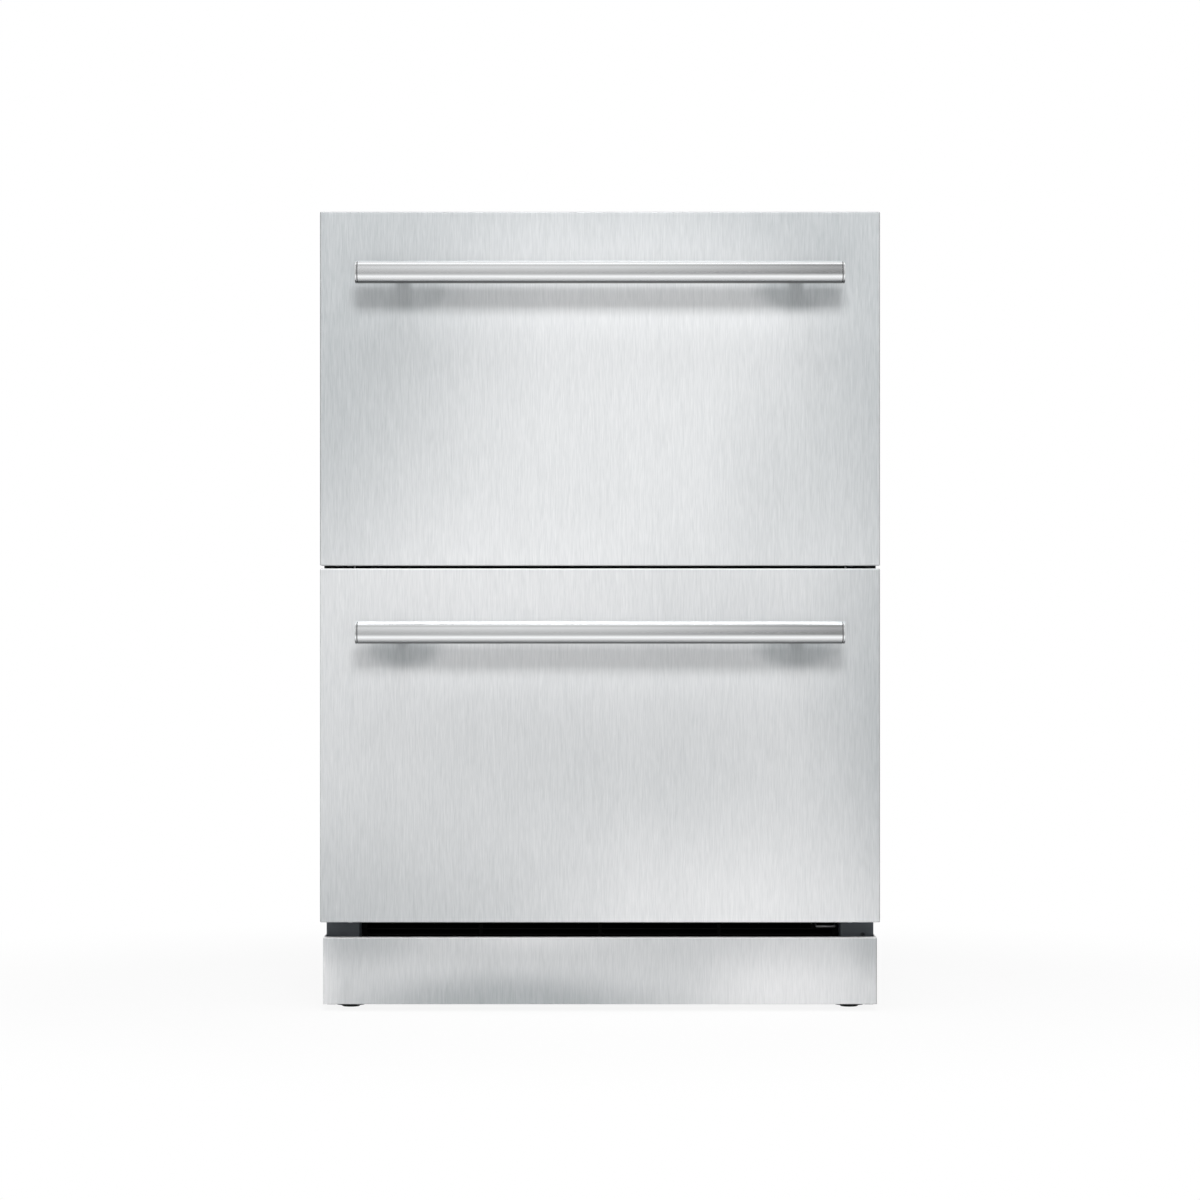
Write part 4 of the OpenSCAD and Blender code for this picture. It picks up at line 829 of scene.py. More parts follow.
# ---- feet ----

footing = dict(
    pad=16.5 * mm, tread=11.5 * mm, padHeight=4 * mm, hexagon=13 * mm, hexHeight=8 * mm,
    stem=5.5 * mm, stemStart=5 * mm, thread=0.5 * mm, pitch=1.75 * mm, threadStart=9.5 * mm)


def hexagon(centre, radius, level):
    return [(centre[0] + radius * math.cos(k * math.pi / 3),
             centre[1] + radius * math.sin(k * math.pi / 3), level) for k in range(6)]


def footShapes(low, high):  # a moulded pad, and a threaded stem on its own
    centre = ((low.x + high.x) / 2, (low.y + high.y) / 2, low.z)
    pad, rise, tread = footing["pad"], footing["padHeight"], footing["tread"]
    shape, top = bmesh.new(), high.z - low.z
    turned(shape, rounded([
        (0, 0), (0, tread - 2.5 * mm), (1.9 * mm, tread), (2.2 * mm, pad - 0.4 * mm),
        (2.6 * mm, pad), (rise - 0.6 * mm, pad), (rise, pad - 1.2 * mm), (rise, 0)],
        0.3 * mm, 3), centre, "Z", 48)
    wide, crown = footing["hexagon"], footing["hexHeight"]
    loft(shape, [hexagon(centre, radius, low.z + z) for z, radius in (
        (1.5 * mm, wide - 0.8 * mm), (rise + 0.2 * mm, wide - 0.8 * mm), (rise + 0.9 * mm, wide),
        (crown - 0.6 * mm, wide), (crown, wide - 1.2 * mm))])
    stemShape, stem, start = bmesh.new(), footing["stem"], footing["stemStart"]
    turned(stemShape, [(start, 0), (start, stem), (top - 1.2 * mm, stem),
                       (top, stem - 1 * mm), (top, 0)], centre, "Z", 24)
    length = top - footing["threadStart"] - 2 * mm
    mesh = grow("thread", stemShape, "screwSteel", Turns=length / footing["pitch"], Radius=stem,
                Height=length, Depth=footing["thread"],
                Base=(centre[0], centre[1], low.z + footing["threadStart"]),
                **{"End Radius": stem})
    return smoothed(meshOf(shape, "pad"), 32), smoothed(mesh, 32)


for corner in ("front_left", "front_right", "rear_left", "rear_right"):
    padMesh, stemMesh = footShapes(*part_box("foot_" + corner))
    keepPiece("foot_pad_" + corner, padMesh, "foot_" + corner, "black_plastic", "blackPlastic",
              "foot_" + corner)
    keepPiece("foot_stem_" + corner, stemMesh, "foot_" + corner, "screw_steel", "screwSteel")
print("feet ready")

# ---- drawer boxes ----

tub = dict(wall=2.5 * mm, corner=15 * mm, base=9 * mm, rim=6 * mm, rimHeight=2.5 * mm,
           rib=(5 * mm, 0.9 * mm), ribs=9, ribEnd=190 * mm, ribInset=30 * mm)


def quarterTurn(steps):  # what a rounded corner of radius 1 lacks of its two sides, step by step
    angles = [step / steps * math.pi / 2 for step in range(steps + 1)]
    return [(1 - math.sin(angle), 1 - math.cos(angle)) for angle in angles]


def tubShape(low, high):
    wall, base, rim = tub["wall"], tub["base"], tub["rim"]
    foot, top, under = low.z, high.z, high.z - tub["rimHeight"]
    # (inset, height) up the outside, over the rim and down the inside
    path = [(base * a, foot + base * b) for a, b in quarterTurn(6)]
    path += [(0, under - 2 * mm), (-0.3 * mm, under - 0.7 * mm), (-1.5 * mm, under),
             (0.7 * mm - rim, under), (0.2 * mm - rim, under + 0.3 * mm), (-rim, under + 0.9 * mm),
             (-rim, top - 0.9 * mm), (0.25 * mm - rim, top - 0.25 * mm), (0.9 * mm - rim, top),
             (0.6 * mm, top), (1.8 * mm, top - 0.4 * mm), (wall, top - 1.6 * mm)]
    inner = base - wall * 0.5
    path += [(wall + inner * b, foot + wall + inner * a) for a, b in quarterTurn(6)]
    return loft(bmesh.new(), [
        roundedLoop((low.x + rim + inset, low.y + rim + inset),
                    (high.x - rim - inset, high.y - rim - inset),
                    tub["corner"] - inset, height, "XY", 8) for inset, height in path])


def rib(start, end, width, height, up=(0, 0, 1)):
    # a low rounded rib between two points, standing on its flat side
    start, end, up = Vector(start), Vector(end), Vector(up)
    along = (end - start).normalized()
    across = along.cross(up)
    loops = []
    for place, share in ((0, 0.25), (0.5, 0.75), (1.2, 1), (-1.2, 1), (-0.5, 0.75), (0, 0.25)):
        base = (start if place >= 0 and len(loops) < 3 else end) + along * width * place
        loops.append([base + across * width / 2 * share * math.cos(a)
                      + up * (height * share * math.sin(a) if 0 < a < math.pi else -0.2 * mm)
                      for a in [k * math.pi / 8 for k in range(9)]])
    return loft(bmesh.new(), loops)


for level in ("upper", "lower"):
    low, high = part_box(level + "_bin")
    floorTop, start = low.z + tub["wall"], low.y + tub["rim"] + tub["ribInset"]
    span = (high.y - low.y) - 2 * (tub["rim"] + tub["ribInset"])
    ribs = grow("row", rib((-tub["ribEnd"], start, floorTop), (tub["ribEnd"], start, floorTop),
                           *tub["rib"]),
                "linerPlastic", Count=tub["ribs"], Step=(0, span / (tub["ribs"] - 1), 0))
    keepPiece(level + "_tub",
              smoothed(meshOf(merged(meshOf(tubShape(low, high)), ribs)), 30),
              level + "_drawer", "liner_plastic", "linerPlastic", level + "_bin")

# ---- backs of the fronts ----

backing = dict(edge=1.2 * mm, boss=9 * mm, bossRound=4 * mm, bossHalf=236.1 * mm,
               bossInset=22 * mm, field=1.6 * mm, fieldInset=26 * mm)

for level in ("upper", "lower"):
    low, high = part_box(level + "_inner_panel")
    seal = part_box(level + "_gasket")
    plate = seal[0].y  # the gasket lies on this face
    bossX, bossInset, edge = backing["bossHalf"], backing["bossInset"], backing["edge"]
    bossLow, bossHigh = seal[0].z + bossInset, seal[1].z - bossInset
    loops = [roundedLoop((low.x + inset, low.z + inset), (high.x - inset, high.z - inset),
                         1 * mm, y, "XZ", 8)
             for inset, y in ((0, low.y), (0, plate - edge), (0.3 * edge, plate - 0.3 * edge),
                              (edge, plate))]
    rise, turn = high.y - plate, backing["bossRound"]
    bossPath = [(-3 * mm, 0), (-1 * mm, 0.4 * mm), (0, 1.4 * mm), (1.0 * mm, rise - turn),
                (1.6 * mm, rise - 0.45 * turn), (2.8 * mm, rise - 0.14 * turn),
                (turn + 1 * mm, rise)]
    field, sunk = backing["fieldInset"], backing["field"]
    bossPath += [(field, rise), (field + 1.2 * mm, rise - 0.3 * sunk),
                 (field + 2.4 * mm, rise - sunk), (field + 16 * mm, rise - sunk)]
    loops += [roundedLoop((-bossX + inset, bossLow + inset), (bossX - inset, bossHigh - inset),
                          max(backing["boss"] - inset * 0.3, 3 * mm), plate + y, "XZ", 8)
              for inset, y in bossPath]
    keepPiece(level + "_front_backing", smoothed(meshOf(loft(bmesh.new(), loops)), 38),
              level + "_drawer", "liner_plastic", "linerPlastic", level + "_inner_panel")
print("drawers ready")

# ---- sheet metal, mouldings and slides with their edges eased ----

eased = dict(
    side_panel_left=("cabinetPaint", 0.4), side_panel_right=("cabinetPaint", 0.4),
    top_panel=("cabinetPaint", 0.4), underside_panel=("zincSheet", 0.3),
    face_frame=("blackPaint", 0.3), centre_rail=("blackPaint", 0.8), base_pan=("zincSheet", 0.3),
    inner_liner=("linerPlastic", 0.8), foot_housings=("slatePlastic", 0.7),
    toe_kick_brackets=("zincSheet", 0.3), worktop_brackets=("zincSheet", 0.3),
    machine_cover=("zincSheet", 0.25), slide_cabinet_members=("slideSteel", 0.35),
    upper_slide_middles=("slideSteel", 0.3), lower_slide_middles=("slideSteel", 0.3),
    upper_drawer_frame=("plainSteel", 0.35), lower_drawer_frame=("plainSteel", 0.35),
    toe_kick=("kickSteel", 0.55), fan_shroud=("zincSheet", 0.4),
    control_board_box=("blackPlastic", 0.9), power_inlet=("blackPlastic", 0.5),
    evaporator_cover=("linerPlastic", 0.8),
    evaporator_fan_motor=("motorPaint", 0.6), control_panel=("blackPlastic", 1.4),
    display_window=("displayGlass", 0.5), upper_bin_divider=("dividerPlastic", 0.7))

for node, (surface, width) in eased.items():
    dressed(node, surface, width * mm)

# the back panel has two pressed beads against drumming
beads = dict(width=9 * mm, rise=1.1 * mm, sunk=0.1 * mm, corner=26 * mm, inset=52 * mm,
             gap=46 * mm, edge=0.3 * mm)


def beadRing(shape, low, high, level):
    loops = []
    for step in range(9):
        angle = step * math.pi / 8
        shift = beads["width"] / 2 * math.cos(angle)
        loops.append(roundedLoop(
            (low[0] + shift, low[1] + shift), (high[0] - shift, high[1] - shift),
            beads["corner"] - shift, level + beads["rise"] * math.sin(angle) - beads["sunk"],
            "XZ", 8))
    return loft(shape, loops, ring=True)


low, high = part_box("back_panel")
middle, inset, gap = (low.z + high.z) / 2, beads["inset"], beads["gap"] / 2
mesh = smoothMesh(cadShape("back_panel"), "back", beads["edge"])
rings = bmesh.new()
beadRing(rings, (low.x + inset, low.z + inset), (high.x - inset, middle - gap), high.y)
beadRing(rings, (low.x + inset, middle + gap), (high.x - inset, high.z - inset), high.y)
keepPiece("back_sheet", smoothed(joined(mesh, meshOf(rings)), 40), "cabinet", "galvanised",
          "zincSheet", "back_panel")
print("sheets ready")

# ---- intake grille with its wire clip ----

louvre = dict(
    frame=6 * mm, frameRound=0.4 * mm, corner=3 * mm, slat=6 * mm, slatDepth=9 * mm,
    slatStart=0.1 * mm, thickness=1.1 * mm, tilt=40, inset=2 * mm, bar=2 * mm, barDepth=0.3 * mm,
    bars=(-0.25, 0.25, 0), seat=4 * mm, seatDepth=0.2 * mm, wire=1 * mm, bend=1.8 * mm)
parts = sorted(solidParts("intake_grille"), key=lambda part: part[1].x - part[0].x)
clipLow, clipHigh = parts[0]
low, high = parts[-1]


def slatShape(low, high, z):  # a blade that rises towards the back and hides what is behind it
    tilt = math.radians(louvre["tilt"])
    depth = louvre["slatDepth"] / 2
    middle, half = low.y + louvre["slatStart"] + depth, louvre["thickness"] / 2
    reach = depth / math.cos(tilt) - half * math.tan(tilt)
    outline = [(middle + a * math.cos(tilt) - b * math.sin(tilt),
                z + a * math.sin(tilt) + b * math.cos(tilt))
               for a, b in ((-reach, -half), (reach, -half), (reach, half), (-reach, half))]
    inset = louvre["frame"] / 2
    return loft(bmesh.new(), [[(x, y, h) for y, h in outline]
                              for x in (low.x + inset, high.x - inset)])


edge, soft, inset = louvre["frame"], louvre["frameRound"], louvre["inset"]
border = loft(bmesh.new(), [
    roundedLoop((low.x + shift, low.z + shift), (high.x - shift, high.z - shift),
                max(louvre["corner"] - shift, soft), y, "XZ", 4)
    for shift, y in ((soft, low.y), (0, low.y + soft), (0, high.y), (edge, high.y),
                     (edge, low.y + soft), (edge - soft, low.y))], ring=True)
for share in louvre["bars"]:  # uprights that carry the blades
    x, half, depth = share * (high.x - low.x), louvre["bar"], louvre["barDepth"]
    blockShape((x - half, low.y + depth, low.z + inset),
               (x + half, high.y - depth, high.z - inset), border)
clipZ, seat, depth = (clipLow.z + clipHigh.z) / 2, louvre["seat"], louvre["seatDepth"]
blockShape((clipLow.x - seat, low.y + depth, clipZ - seat),
           (min(clipHigh.x + seat, high.x), high.y - depth, high.z - inset), border)
first, last = low.z + edge + inset, high.z - edge - inset
count = int((last - first) / louvre["slat"])
slats = grow("row", slatShape(low, high, first), "grillePlastic", Count=count + 1,
             Step=(0, 0, (last - first) / count))
keepPiece("grille_louvres", smoothed(joined(meshOf(border), slats), 30), "cabinet",
          "black_plastic", "grillePlastic", "intake_grille")
wire = louvre["wire"]
left, right, near = clipLow.x + wire, clipHigh.x - wire, clipLow.y + wire
keepPiece("grille_wire_clip", grow("pipe", lines([
    (left, clipHigh.y, clipZ), (left, near, clipZ), (right, near, clipZ),
    (right, clipHigh.y, clipZ)]), "screwSteel", Sides=10, Radius=wire, Bend=louvre["bend"],
    **{"Bend Steps": 6}), "cabinet", "screw_steel", "screwSteel")
print("grille ready")

# ---- machine compartment; sizes in millimetres, y counted from the fronts' faces ----

def at(x, y, z):
    return Vector((x * mm, frontPlane + y * mm, z * mm))


coil = dict(fin=0.8, plate=2, tube=4, reach=5, bend=4.5, corner=3)
condenser = dict(fins=16, tubes=5, x=(-210, -70), y=(437, 589.2), z=(39.2, 189.2), foot=17.2)
evaporator = dict(fins=18, tubes=5, x=(-170, 170), y=(514.2, 566.2), z=(358.2, 558.2), back=570.2)


def finShape(a, b, level, thickness, plane):
    half = thickness / 2 * mm
    return loft(bmesh.new(), [
        roundedLoop(a, b, coil["corner"] * mm, level + side * half, plane, 2)
        for side in (-1, 1)])


def snake(count, heights, ends, point):  # a tube back and forth at each height
    path = []
    for k in range(count):
        z = heights[0] + (k + 0.5) * (heights[1] - heights[0]) / count
        pair = [point(ends[0], z), point(ends[1], z)]
        path += pair if k % 2 == 0 else pair[::-1]
    return lines(path)


c, reach = condenser, coil["reach"]
step = (c["y"][1] - c["y"][0]) / (c["fins"] + 1)
fins = grow("row", finShape(
    (c["x"][0] * mm, c["z"][0] * mm), (c["x"][1] * mm, c["z"][1] * mm),
    at(0, c["y"][0] + step, 0).y, coil["fin"], "XZ"), "blackPaint",
    Count=c["fins"], Step=(0, step * mm, 0))
ends = [meshOf(finShape((c["x"][0] * mm, c["foot"] * mm), (c["x"][1] * mm, c["z"][1] * mm),
                        at(0, y, 0).y, coil["plate"], "XZ"))
        for y in (c["y"][0] + 1, c["y"][1] - 1)]
tubes = grow("pipe", snake(
    c["tubes"], c["z"], (c["y"][0] - reach, c["y"][1] + reach),
    lambda y, z: at(sum(c["x"]) / 2, y, z)), "blackPaint",
    Sides=12, Radius=coil["tube"] * mm, Bend=coil["bend"] * mm, **{"Bend Steps": 5})
keepPiece("condenser_fins_and_tubes", smoothed(joined(fins, tubes, *ends), 40), "cabinet",
          "black_paint", "blackPaint", "condenser_coil")

c = evaporator
step = (c["x"][1] - c["x"][0]) / (c["fins"] + 1)
fins = grow("row", finShape(
    (at(0, c["y"][0], 0).y, c["z"][0] * mm), (at(0, c["y"][1], 0).y, c["z"][1] * mm),
    (c["x"][0] + step) * mm, coil["fin"], "YZ"), "finAluminium",
    Count=c["fins"], Step=(step * mm, 0, 0))
ends = [meshOf(finShape((at(0, c["y"][0], 0).y, c["z"][0] * mm),
                        (at(0, c["back"], 0).y, c["z"][1] * mm), x * mm, coil["plate"], "YZ"))
        for x in (c["x"][0] + 1, c["x"][1] - 1)]
keepPiece("evaporator_fins", smoothed(joined(fins, *ends), 40), "cabinet", "fin_aluminium",
          "finAluminium", "evaporator_coil")
keepPiece("evaporator_tubes", grow("pipe", snake(
    c["tubes"], c["z"], (c["x"][0] - reach, c["x"][1] + reach),
    lambda x, z: at(x, sum(c["y"]) / 2, z)), "copperTube",
    Sides=12, Radius=coil["tube"] * mm, Bend=coil["bend"] * mm, **{"Bend Steps": 5}),
    "cabinet", "copper", "copperTube")

pump = dict(x=150, y=512.1, foot=25.4, height=148, radius=67.6, flange=70, seam=64, plate=60,
            crown=18, rubberHeight=8, rubberAt=48, coverX=(-4, 17), coverHalf=24,
            coverZ=(62, 118))


def pumpShape():
    p, shape = pump, bmesh.new()
    r, h, seam = p["radius"], p["height"], p["seam"]
    turned(shape, [(a.x * mm, a.y * mm) for a in rounded([
        (0, 0), (0, r - 9), (7, r), (seam - 2.5, r), (seam - 2.2, p["flange"]),
        (seam + 2.2, p["flange"]), (seam + 2.5, r), (h - p["crown"], r),
        (h - p["crown"] * 0.35, r - p["crown"] * 0.35), (h, r - p["crown"]), (h, 0)], 6, 6)],
        at(p["x"], p["y"], p["foot"]), "Z", 72)
    half = p["plate"]
    low, high = at(p["x"] - half, p["y"] - half, p["foot"]), at(p["x"] + half, p["y"] + half, 0)
    loft(shape, [roundedLoop((low.x + i, low.y + i), (high.x - i, high.y - i), 14 * mm - i,
                             low.z + z, "XY", 6)
                 for i, z in ((0.3 * mm, 0), (0, 0.3 * mm), (0, 2.7 * mm), (0.3 * mm, 3 * mm))])
    start, end = p["x"] + r + p["coverX"][0], p["x"] + r + p["coverX"][1]
    low = at(start, p["y"] - p["coverHalf"], p["coverZ"][0])
    high = at(end, p["y"] + p["coverHalf"], p["coverZ"][1])
    loft(shape, [roundedLoop((low.y + i, low.z + i), (high.y - i, high.z - i), 8 * mm, x, "YZ", 6)
                 for i, x in ((0, low.x), (0.4 * mm, high.x - 3 * mm),
                              (1.2 * mm, high.x - 0.9 * mm), (3 * mm, high.x))])
    return shape


rubbers = bmesh.new()
for sx in (-1, 1):
    for sy in (-1, 1):
        turned(rubbers, [(a.x * mm, a.y * mm) for a in rounded([
            (0, 0), (0, 10), (3, 10), (3.6, 8.2), (5, 8.2), (5.6, 10), (8, 9), (8, 0)], 0.6, 3)],
            at(pump["x"] + sx * pump["rubberAt"], pump["y"] + sy * pump["rubberAt"],
               pump["foot"] - pump["rubberHeight"] - 0.2), "Z", 24)
keepPiece("compressor_shell", smoothed(joined(meshOf(pumpShape()), meshOf(rubbers)), 38),
          "cabinet", "black_paint", "blackPaint", "compressor")

lineSizes = dict(
    radius=4, bend=16, discharge=488.1, suction=536.2, portHeight=99.4, suctionRise=30,
    riser=57.5, top=212.2, coldEnd=358.2, hotEnd=(-140, 189), liquid=(-50, 579.2),
    liquidStart=(-71, 108), drier=128)
port, suction, portHeight = [lineSizes[key] for key in ("discharge", "suction", "portHeight")]
riser, top, coldEnd = [lineSizes[key] for key in ("riser", "top", "coldEnd")]
(hotX, hotEnd), (liquidX, liquidY) = lineSizes["hotEnd"], lineSizes["liquid"]
(startX, startZ), returnHeight = lineSizes["liquidStart"], portHeight + lineSizes["suctionRise"]
rim = pump["x"] - math.sqrt(pump["radius"] ** 2 - (pump["y"] - port) ** 2) - 1
paths = lines(
    [at(rim, port, portHeight), at(riser, port, portHeight), at(riser, port, top),
     at(hotX, port, top), at(hotX, port, hotEnd)],
    [at(rim, suction, returnHeight), at(riser, suction, returnHeight),
     at(riser, suction, coldEnd)],
    [at(startX, liquidY, startZ), at(liquidX, liquidY, startZ), at(liquidX, liquidY, top),
     at(liquidX, suction, top), at(liquidX, suction, coldEnd)])
tubes = grow("pipe", paths, "copperTube", Sides=16, Radius=lineSizes["radius"] * mm,
             Bend=lineSizes["bend"] * mm, **{"Bend Steps": 8})
drier = bmesh.new()
turned(drier, [(a.x * mm, a.y * mm) for a in rounded([
    (0, 0), (0, 4.6), (7, 5), (12, 9), (48, 9), (53, 5), (60, 4.6), (60, 0)], 2.2, 4)],
    at(liquidX, liquidY, lineSizes["drier"]), "Z", 32)
keepPiece("copper_lines_and_drier", smoothed(joined(tubes, meshOf(drier)), 40), "cabinet",
          "copper", "copperTube", "refrigerant_lines")

tray = dict(wall=2, base=5, corner=9, tube=(6, 4.5))


def trayShape(low, high):
    wall, base = tray["wall"] * mm, tray["base"] * mm
    path = [(base * a, low.z + base * b) for a, b in quarterTurn(4)]
    path += [(0, high.z - 0.6 * mm), (0.5 * mm, high.z), (wall - 0.5 * mm, high.z),
             (wall, high.z - 0.6 * mm)]
    path += [(wall + base * b, low.z + wall + base * a) for a, b in quarterTurn(4)]
    return loft(bmesh.new(), [roundedLoop((low.x + i, low.y + i), (high.x - i, high.y - i),
                                          tray["corner"] * mm - i * 0.6, z) for i, z in path])


parts = sorted(solidParts("drip_tray"), key=lambda part: part[0].z)
low, high = parts[1]
drain, (outer, inner) = bmesh.new(), tray["tube"]
turned(drain, rounded([(low.z, outer * mm), (high.z, outer * mm), (high.z, inner * mm),
                       (low.z, inner * mm)], 0.3 * mm, 2, True),
       ((low.x + high.x) / 2, (low.y + high.y) / 2, 0), "Z", 32, ring=True)
keepPiece("meltwater_tray", smoothed(joined(meshOf(trayShape(*parts[0])), meshOf(drain)), 35),
          "cabinet", "black_plastic", "blackPlastic", "drip_tray")
print("machinery ready")

# ---- fans ----

blower = dict(blades=5, chord=0.46, rootPitch=44, tipPitch=24, camber=0.10, thickness=1.6)


def bladeShape(hub, radius, depth, axis):
    # a cambered blade that flattens towards its tip, swept about the axis through the origin
    order = dict(X=lambda a, u, v: (a, u, v), Y=lambda a, u, v: (u, a, v))[axis]
    lead = depth / 2 - 0.3  # blades end this far from the middle, inside the hub's depth
    loops = []
    for step in range(7):
        share = step / 6
        r = hub - 1 + (radius - hub + 1) * share
        pitch = math.radians(blower["rootPitch"] * (1 - share) + blower["tipPitch"] * share)
        chord = min(blower["chord"] * radius * (0.75 + 0.5 * share),
                    (depth - 2.4) / math.sin(pitch))
        thick = blower["thickness"] * (1.15 - 0.5 * share)
        loop = []
        for side in (1, -1):
            for k in range(6):
                t = k / 5 if side > 0 else 1 - k / 5
                along = (t - 0.5) * chord
                rise = blower["camber"] * chord * (1 - (2 * t - 1) ** 2)
                height = rise + side * thick / 2 * (1 - 0.75 * abs(2 * t - 1) ** 3)
                a = along * math.sin(pitch) + height * math.cos(pitch) - rise * 0.3
                swing = (along * math.cos(pitch) - height * math.sin(pitch)) / r
                reach = r * (1 - 0.06 * share * (2 * t - 1) ** 2)
                loop.append(Vector(order(max(min(a, lead), -lead), reach * math.cos(swing),
                                         reach * math.sin(swing))) * mm)
        loops.append(loop)
    return loft(bmesh.new(), loops)


wheels = dict(
    condenser=dict(hub=18, radius=65.6, depth=20, bore=2.75, axis="X", height=108),
    evaporator=dict(hub=15, radius=51.6, depth=18, bore=2.75, axis="Y", height=699.8))


def fanMesh(x, y, hub, radius, depth, bore, axis, height):
    centre = Vector((x, y, height * mm))
    blades = grow("wheel", bladeShape(hub, radius, depth, axis), "blackPlastic",
                  Count=blower["blades"], Centre=centre,
                  Axis=(1, 0, 0) if axis == "X" else (0, 1, 0))
    cup, half = bmesh.new(), depth / 2
    turned(cup, [(a.x * mm, a.y * mm) for a in rounded([
        (-half, bore), (-half, hub - 2), (2 - half, hub), (half, hub), (half, hub - 2.2),
        (4 - half, hub - 3), (4 - half, bore + 3), (half - 3, bore + 2.4), (half - 3, bore)],
        0.7, 3, True)], centre, axis, 48, ring=True)
    return smoothed(joined(blades, meshOf(cup)), 40)


low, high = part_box("condenser_fan")
keepPiece("condenser_fan_wheel",
          fanMesh((low.x + high.x) / 2, at(0, pump["y"], 0).y, **wheels["condenser"]),
          "condenser_fan", "black_plastic", "blackPlastic", "condenser_fan")
low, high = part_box("evaporator_fan")
keepPiece("evaporator_fan_wheel", fanMesh(0, (low.y + high.y) / 2, **wheels["evaporator"]),
          "evaporator_fan", "black_plastic", "blackPlastic", "evaporator_fan")
print("fans ready")

# ---- controls, lamp, inlet pins and the liner's beads ----

knob = dict(edge=0.7 * mm, dish=0.45 * mm)
for name in ("button_colder", "button_warmer", "button_light"):
    low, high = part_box(name)
    radius = (high.x - low.x) / 2
    shape = bmesh.new()
    turned(shape, rounded([
        (high.y, 0), (high.y, radius), (low.y, radius), (low.y, radius - 1.0 * mm),
        (low.y + knob["dish"] * 0.7, radius * 0.55), (low.y + knob["dish"], 0)],
        knob["edge"], 4), ((low.x + high.x) / 2, 0, (low.z + high.z) / 2), "Y", 40)
    keepPiece(name + "_cap", smoothed(meshOf(shape), 40), name, slots[name], "buttonMetal", name)

lampSizes = dict(corner=4 * mm, lens=1.6 * mm, rib=2.6 * mm, ribs=52, ribStart=7 * mm,
                 ribInset=4 * mm)
low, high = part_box("ceiling_lamp")
lens = lampSizes["lens"]
body = loft(bmesh.new(), [roundedLoop((low.x + i, low.y + i), (high.x - i, high.y - i),
                                      lampSizes["corner"], z)
                          for i, z in ((0, high.z), (0, low.z + lens + 1.2 * mm),
                                       (0.4 * mm, low.z + lens + 0.4 * mm),
                                       (1.3 * mm, low.z + lens), (3 * mm, low.z + lens))])
half, inset = lampSizes["rib"] / 2, lampSizes["ribInset"]
start, span = low.x + lampSizes["ribStart"], high.x - low.x - 2 * lampSizes["ribStart"]
ribs = prism([(start + a, low.z + lens - b) for a, b in (
    (-half, -0.3 * mm), (-half, 0.2 * mm), (-0.4 * mm, lens), (0.4 * mm, lens),
    (half, 0.2 * mm), (half, -0.3 * mm))], low.y + inset, high.y - inset)
ribs = grow("row", ribs, "lampCover", Count=lampSizes["ribs"],
            Step=(span / (lampSizes["ribs"] - 1), 0, 0))
keepPiece("lamp_lens", smoothed(joined(meshOf(body), ribs), 30), "cabinet", "lamp_cover",
          "lampCover", "ceiling_lamp")

inletSizes = dict(x=-240, z=130, pitch=7, drop=2.5, depth=(576, 600.2), half=(1.15, 2.15),
                  corner=0.4)
wide, tall = inletSizes["half"]
start, end = inletSizes["depth"]
blades = bmesh.new()
for k in (-1, 0, 1):
    x = inletSizes["x"] + k * inletSizes["pitch"]
    z = inletSizes["z"] + (inletSizes["drop"] if k == 0 else -inletSizes["drop"])
    loft(blades, [roundedLoop(((x - wide + i) * mm, (z - tall + i) * mm),
                              ((x + wide - i) * mm, (z + tall - i) * mm),
                              inletSizes["corner"] * mm, at(0, depth, 0).y, "XZ", 3)
                  for i, depth in ((0, start), (0, end), (0.5, end + 0.5))])
keepPiece("inlet_pins", smoothed(meshOf(blades), 40), "cabinet", "screw_steel", "screwSteel")

linerBeads = dict(width=12, rise=2.2, wall=267.8,
                  rows=((598, 4, 44, 90, 540), (252, 3, 44, 90, 360)))
beadMeshes = []
for z, count, step, start, end in linerBeads["rows"]:
    for side in (-1, 1):
        x = side * linerBeads["wall"]
        bead = rib(at(x, start, z), at(x, end, z), linerBeads["width"] * mm,
                   linerBeads["rise"] * mm, (-side, 0, 0))
        beadMeshes.append(grow("row", bead, "linerPlastic", Count=count,
                               Step=(0, 0, step * mm)))
keepPiece("liner_beads", smoothed(joined(*beadMeshes), 40), "cabinet", "liner_plastic",
          "linerPlastic")
print("controls ready")

# ---- finishes of the CAD nodes themselves ----

coats = dict(
    cabinet_sheet="cabinetPaint", galvanised="zincSheet", stainless="plainSteel",
    handle_steel="handleSteel", liner_plastic="linerPlastic", foam="foamCore",
    gasket_rubber="gasketRubber", slate_plastic="slatePlastic", black_plastic="blackPlastic",
    slide_steel="slideSteel", screw_steel="screwSteel", black_paint="blackPaint",
    copper="copperTube", fin_aluminium="finAluminium", motor_metal="motorPaint",
    display_glass="displayGlass", button_metal="buttonMetal", lamp_cover="lampCover",
    divider_plastic="dividerPlastic")

for node, item in frame["nodes"].items():
    item.data.materials.clear()
    item.data.materials.append(surfaces[coats[slots[node]]])

# ---- studio ----

lamps = [
    dict(name="keySoftbox", at=(0.2, -5.2, 3.5), aim=(0, -0.27, 0.6), size=(1.6, 1.2), power=132),
    dict(name="lowSoftbox", at=(0.0, -2.2, 0.35), aim=(0, -0.27, 0.2), size=(1.6, 0.5), power=6.5,
         matt=True),
    dict(name="topSoftbox", at=(0.0, -1.3, 3.4), aim=(0, -0.2, 0.5), size=(1.8, 1.2), power=45),
    dict(name="leftSoftbox", at=(-3.0, -0.8, 1.6), aim=(0, 0, 0.5), size=(1.8, 2.2), power=12),
    dict(name="rightSoftbox", at=(3.0, -0.6, 1.4), aim=(0, 0, 0.5), size=(1.8, 2.2), power=15),
    dict(name="backSoftbox", at=(0.4, 3.0, 2.0), aim=(0, 0.1, 0.5), size=(2.6, 1.6), power=30),
]
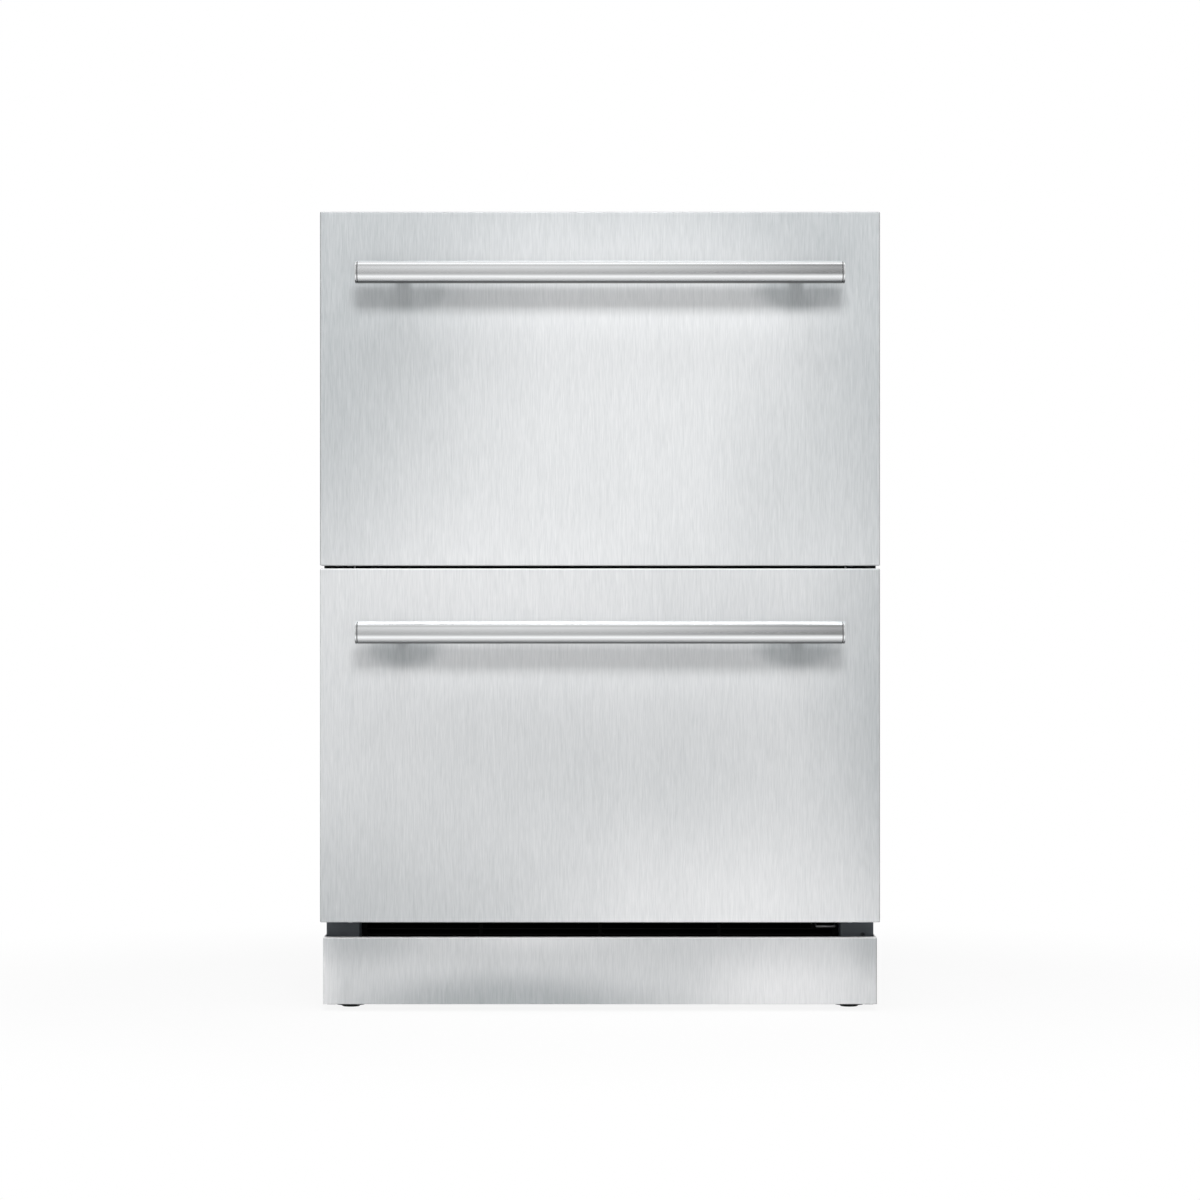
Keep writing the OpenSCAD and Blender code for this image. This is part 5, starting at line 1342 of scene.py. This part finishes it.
# the tubes mirror the studio's bands of the world instead of these boxes
tubes = [item for item in bpy.data.objects if item.type == "MESH" and "handle" in item.name]
unlit = bpy.data.collections.new("unlitTubes")
for item in tubes:
    unlit.objects.link(item)
for entry in unlit.collection_objects:
    entry.light_linking.link_state = "EXCLUDE"
for lamp in lamps:
    light = bpy.data.lights.new(lamp["name"], "AREA")
    light.shape, (light.size, light.size_y), light.energy = "RECTANGLE", lamp["size"], lamp["power"]
    holder = holderOf(light, lamp["name"])
    holder.location = lamp["at"]
    holder.rotation_euler = (Vector(lamp["aim"]) - Vector(lamp["at"])).to_track_quat(
        "-Z", "Y").to_euler()
    holder.light_linking.receiver_collection = unlit
    holder.visible_glossy = "matt" not in lamp

world = bpy.data.worlds.new("studio")
bpy.context.scene.world = world
world.use_nodes = True
world.node_tree.nodes.clear()
air = Sheet(world.node_tree)
ray = air.add("ShaderNodeLightPath", out="Is Camera Ray")
side = air.add("ShaderNodeSeparateXYZ", {}, {
    "Vector": air.add("ShaderNodeTexCoord", out="Generated")}, "X")
# what bright metal mirrors, by the angle from the front (0) up over the top (90) to the back:
# a dark floor, a low strip light, a broad pale panel ahead, and a strip light overhead
mirrored = [(-180, 0.4), (-145, 0.15), (-110, 0.15), (-75, 0.75), (-48, 1.1), (-25, 0.6),
            (0, 0.7), (50, 1.0), (72, 0.7), (97, 1.3), (125, 0.6), (180, 0.5)]
# dark flags to the right and left of the camera, each from its near edge to its far one
flags = dict(height=((-32, -14), (84, 92)), right=(0.005, 0.085), rightDark=0.95,
             left=(0.02, 0.09), leftDark=0.4, far=(0.14, 0.34))


def turnOf(angle):
    return angle / 360 + 0.5


around = side.maths("ARCTAN2", side.other("Z"), side.other("Y") * -1) / (2 * math.pi) + 0.5
bands = air.add("ShaderNodeValToRGB", dict(
    stops=[(turnOf(angle), level) for angle, level in mirrored]), {"Fac": around})
foot, top = [[turnOf(angle) for angle in pair] for pair in flags["height"]]
front = air.spread(around, *foot) * (1 - air.spread(around, *top))
rightFlag = (air.spread(side, *flags["right"]) * (1 - air.spread(side, *flags["far"]))
             * flags["rightDark"])
leftFlag = (air.spread(side * -1, *flags["left"]) * (1 - air.spread(side * -1, *flags["far"]))
            * flags["leftDark"])
flagged = air.blendOf(front * (rightFlag + leftFlag), bands, 0.0)
# the plain light around, and how pale the studio's two ends are and where they begin
studio = dict(around=0.12, ends=0.7, endsFrom=(0.5, 0.92), floor=(0.86, 0.88), floorSize=12,
              floorDrop=0.2 * mm, shadow=0.1, shadowFade=(0.5, 1.1))
sideways = air.spread(abs(side), *studio["endsFrom"])
plain = air.add("ShaderNodeBackground", {}, {
    "Color": shadeOf(studio["around"]), "Strength": 1.0})
shine = air.add("ShaderNodeBackground", {}, {
    "Color": air.blendOf(sideways, flagged, studio["ends"]), "Strength": 1.0})
white = air.add("ShaderNodeBackground", {}, {"Color": shadeOf(1.0), "Strength": 1.0})
metalRay = air.add("ShaderNodeMixShader", {}, {
    0: ray.other("Is Glossy Ray"), 1: plain, 2: shine})
seen = ray.maths("MAXIMUM", ray, ray.other("Is Transmission Ray"))
air.add("ShaderNodeOutputWorld", {}, {
    "Surface": air.add("ShaderNodeMixShader", {}, {0: seen, 1: metalRay, 2: white})})

floorShape = bmesh.new()
bmesh.ops.create_grid(floorShape, x_segments=1, y_segments=1, size=studio["floorSize"])
floorMesh = bpy.data.meshes.new("floor")
floorShape.to_mesh(floorMesh)
floorShape.free()
floor = holderOf(floorMesh, "floor")
floor.location.z = -studio["floorDrop"]
ground = Surface("paleFloor")
matt = ground.add("ShaderNodeBsdfDiffuse", {}, {
    "Color": ground.blendOf(ground.noise(3), *studio["floor"])})
glow = ground.add("ShaderNodeEmission", {}, {"Color": shadeOf(1.0), "Strength": 1.0})
ray = ground.add("ShaderNodeLightPath", out="Is Camera Ray")
seen = ray.maths("MAXIMUM", ray, ray.maths(
    "MAXIMUM", ray.other("Is Glossy Ray"), ray.other("Is Transmission Ray")))
near = 1 - ground.spread(ground.add("ShaderNodeVectorMath", dict(operation="LENGTH"), {
    0: ground.place}, "Value"), *studio["shadowFade"])
ground.add("ShaderNodeOutputMaterial", {}, {"Surface": ground.add("ShaderNodeMixShader", {}, {
    0: seen * (1 - near * studio["shadow"]), 1: matt, 2: glow})})
floor.visible_glossy = False  # metal mirrors the studio's own pale bands instead
floorMesh.materials.append(ground.item)
print("studio ready")
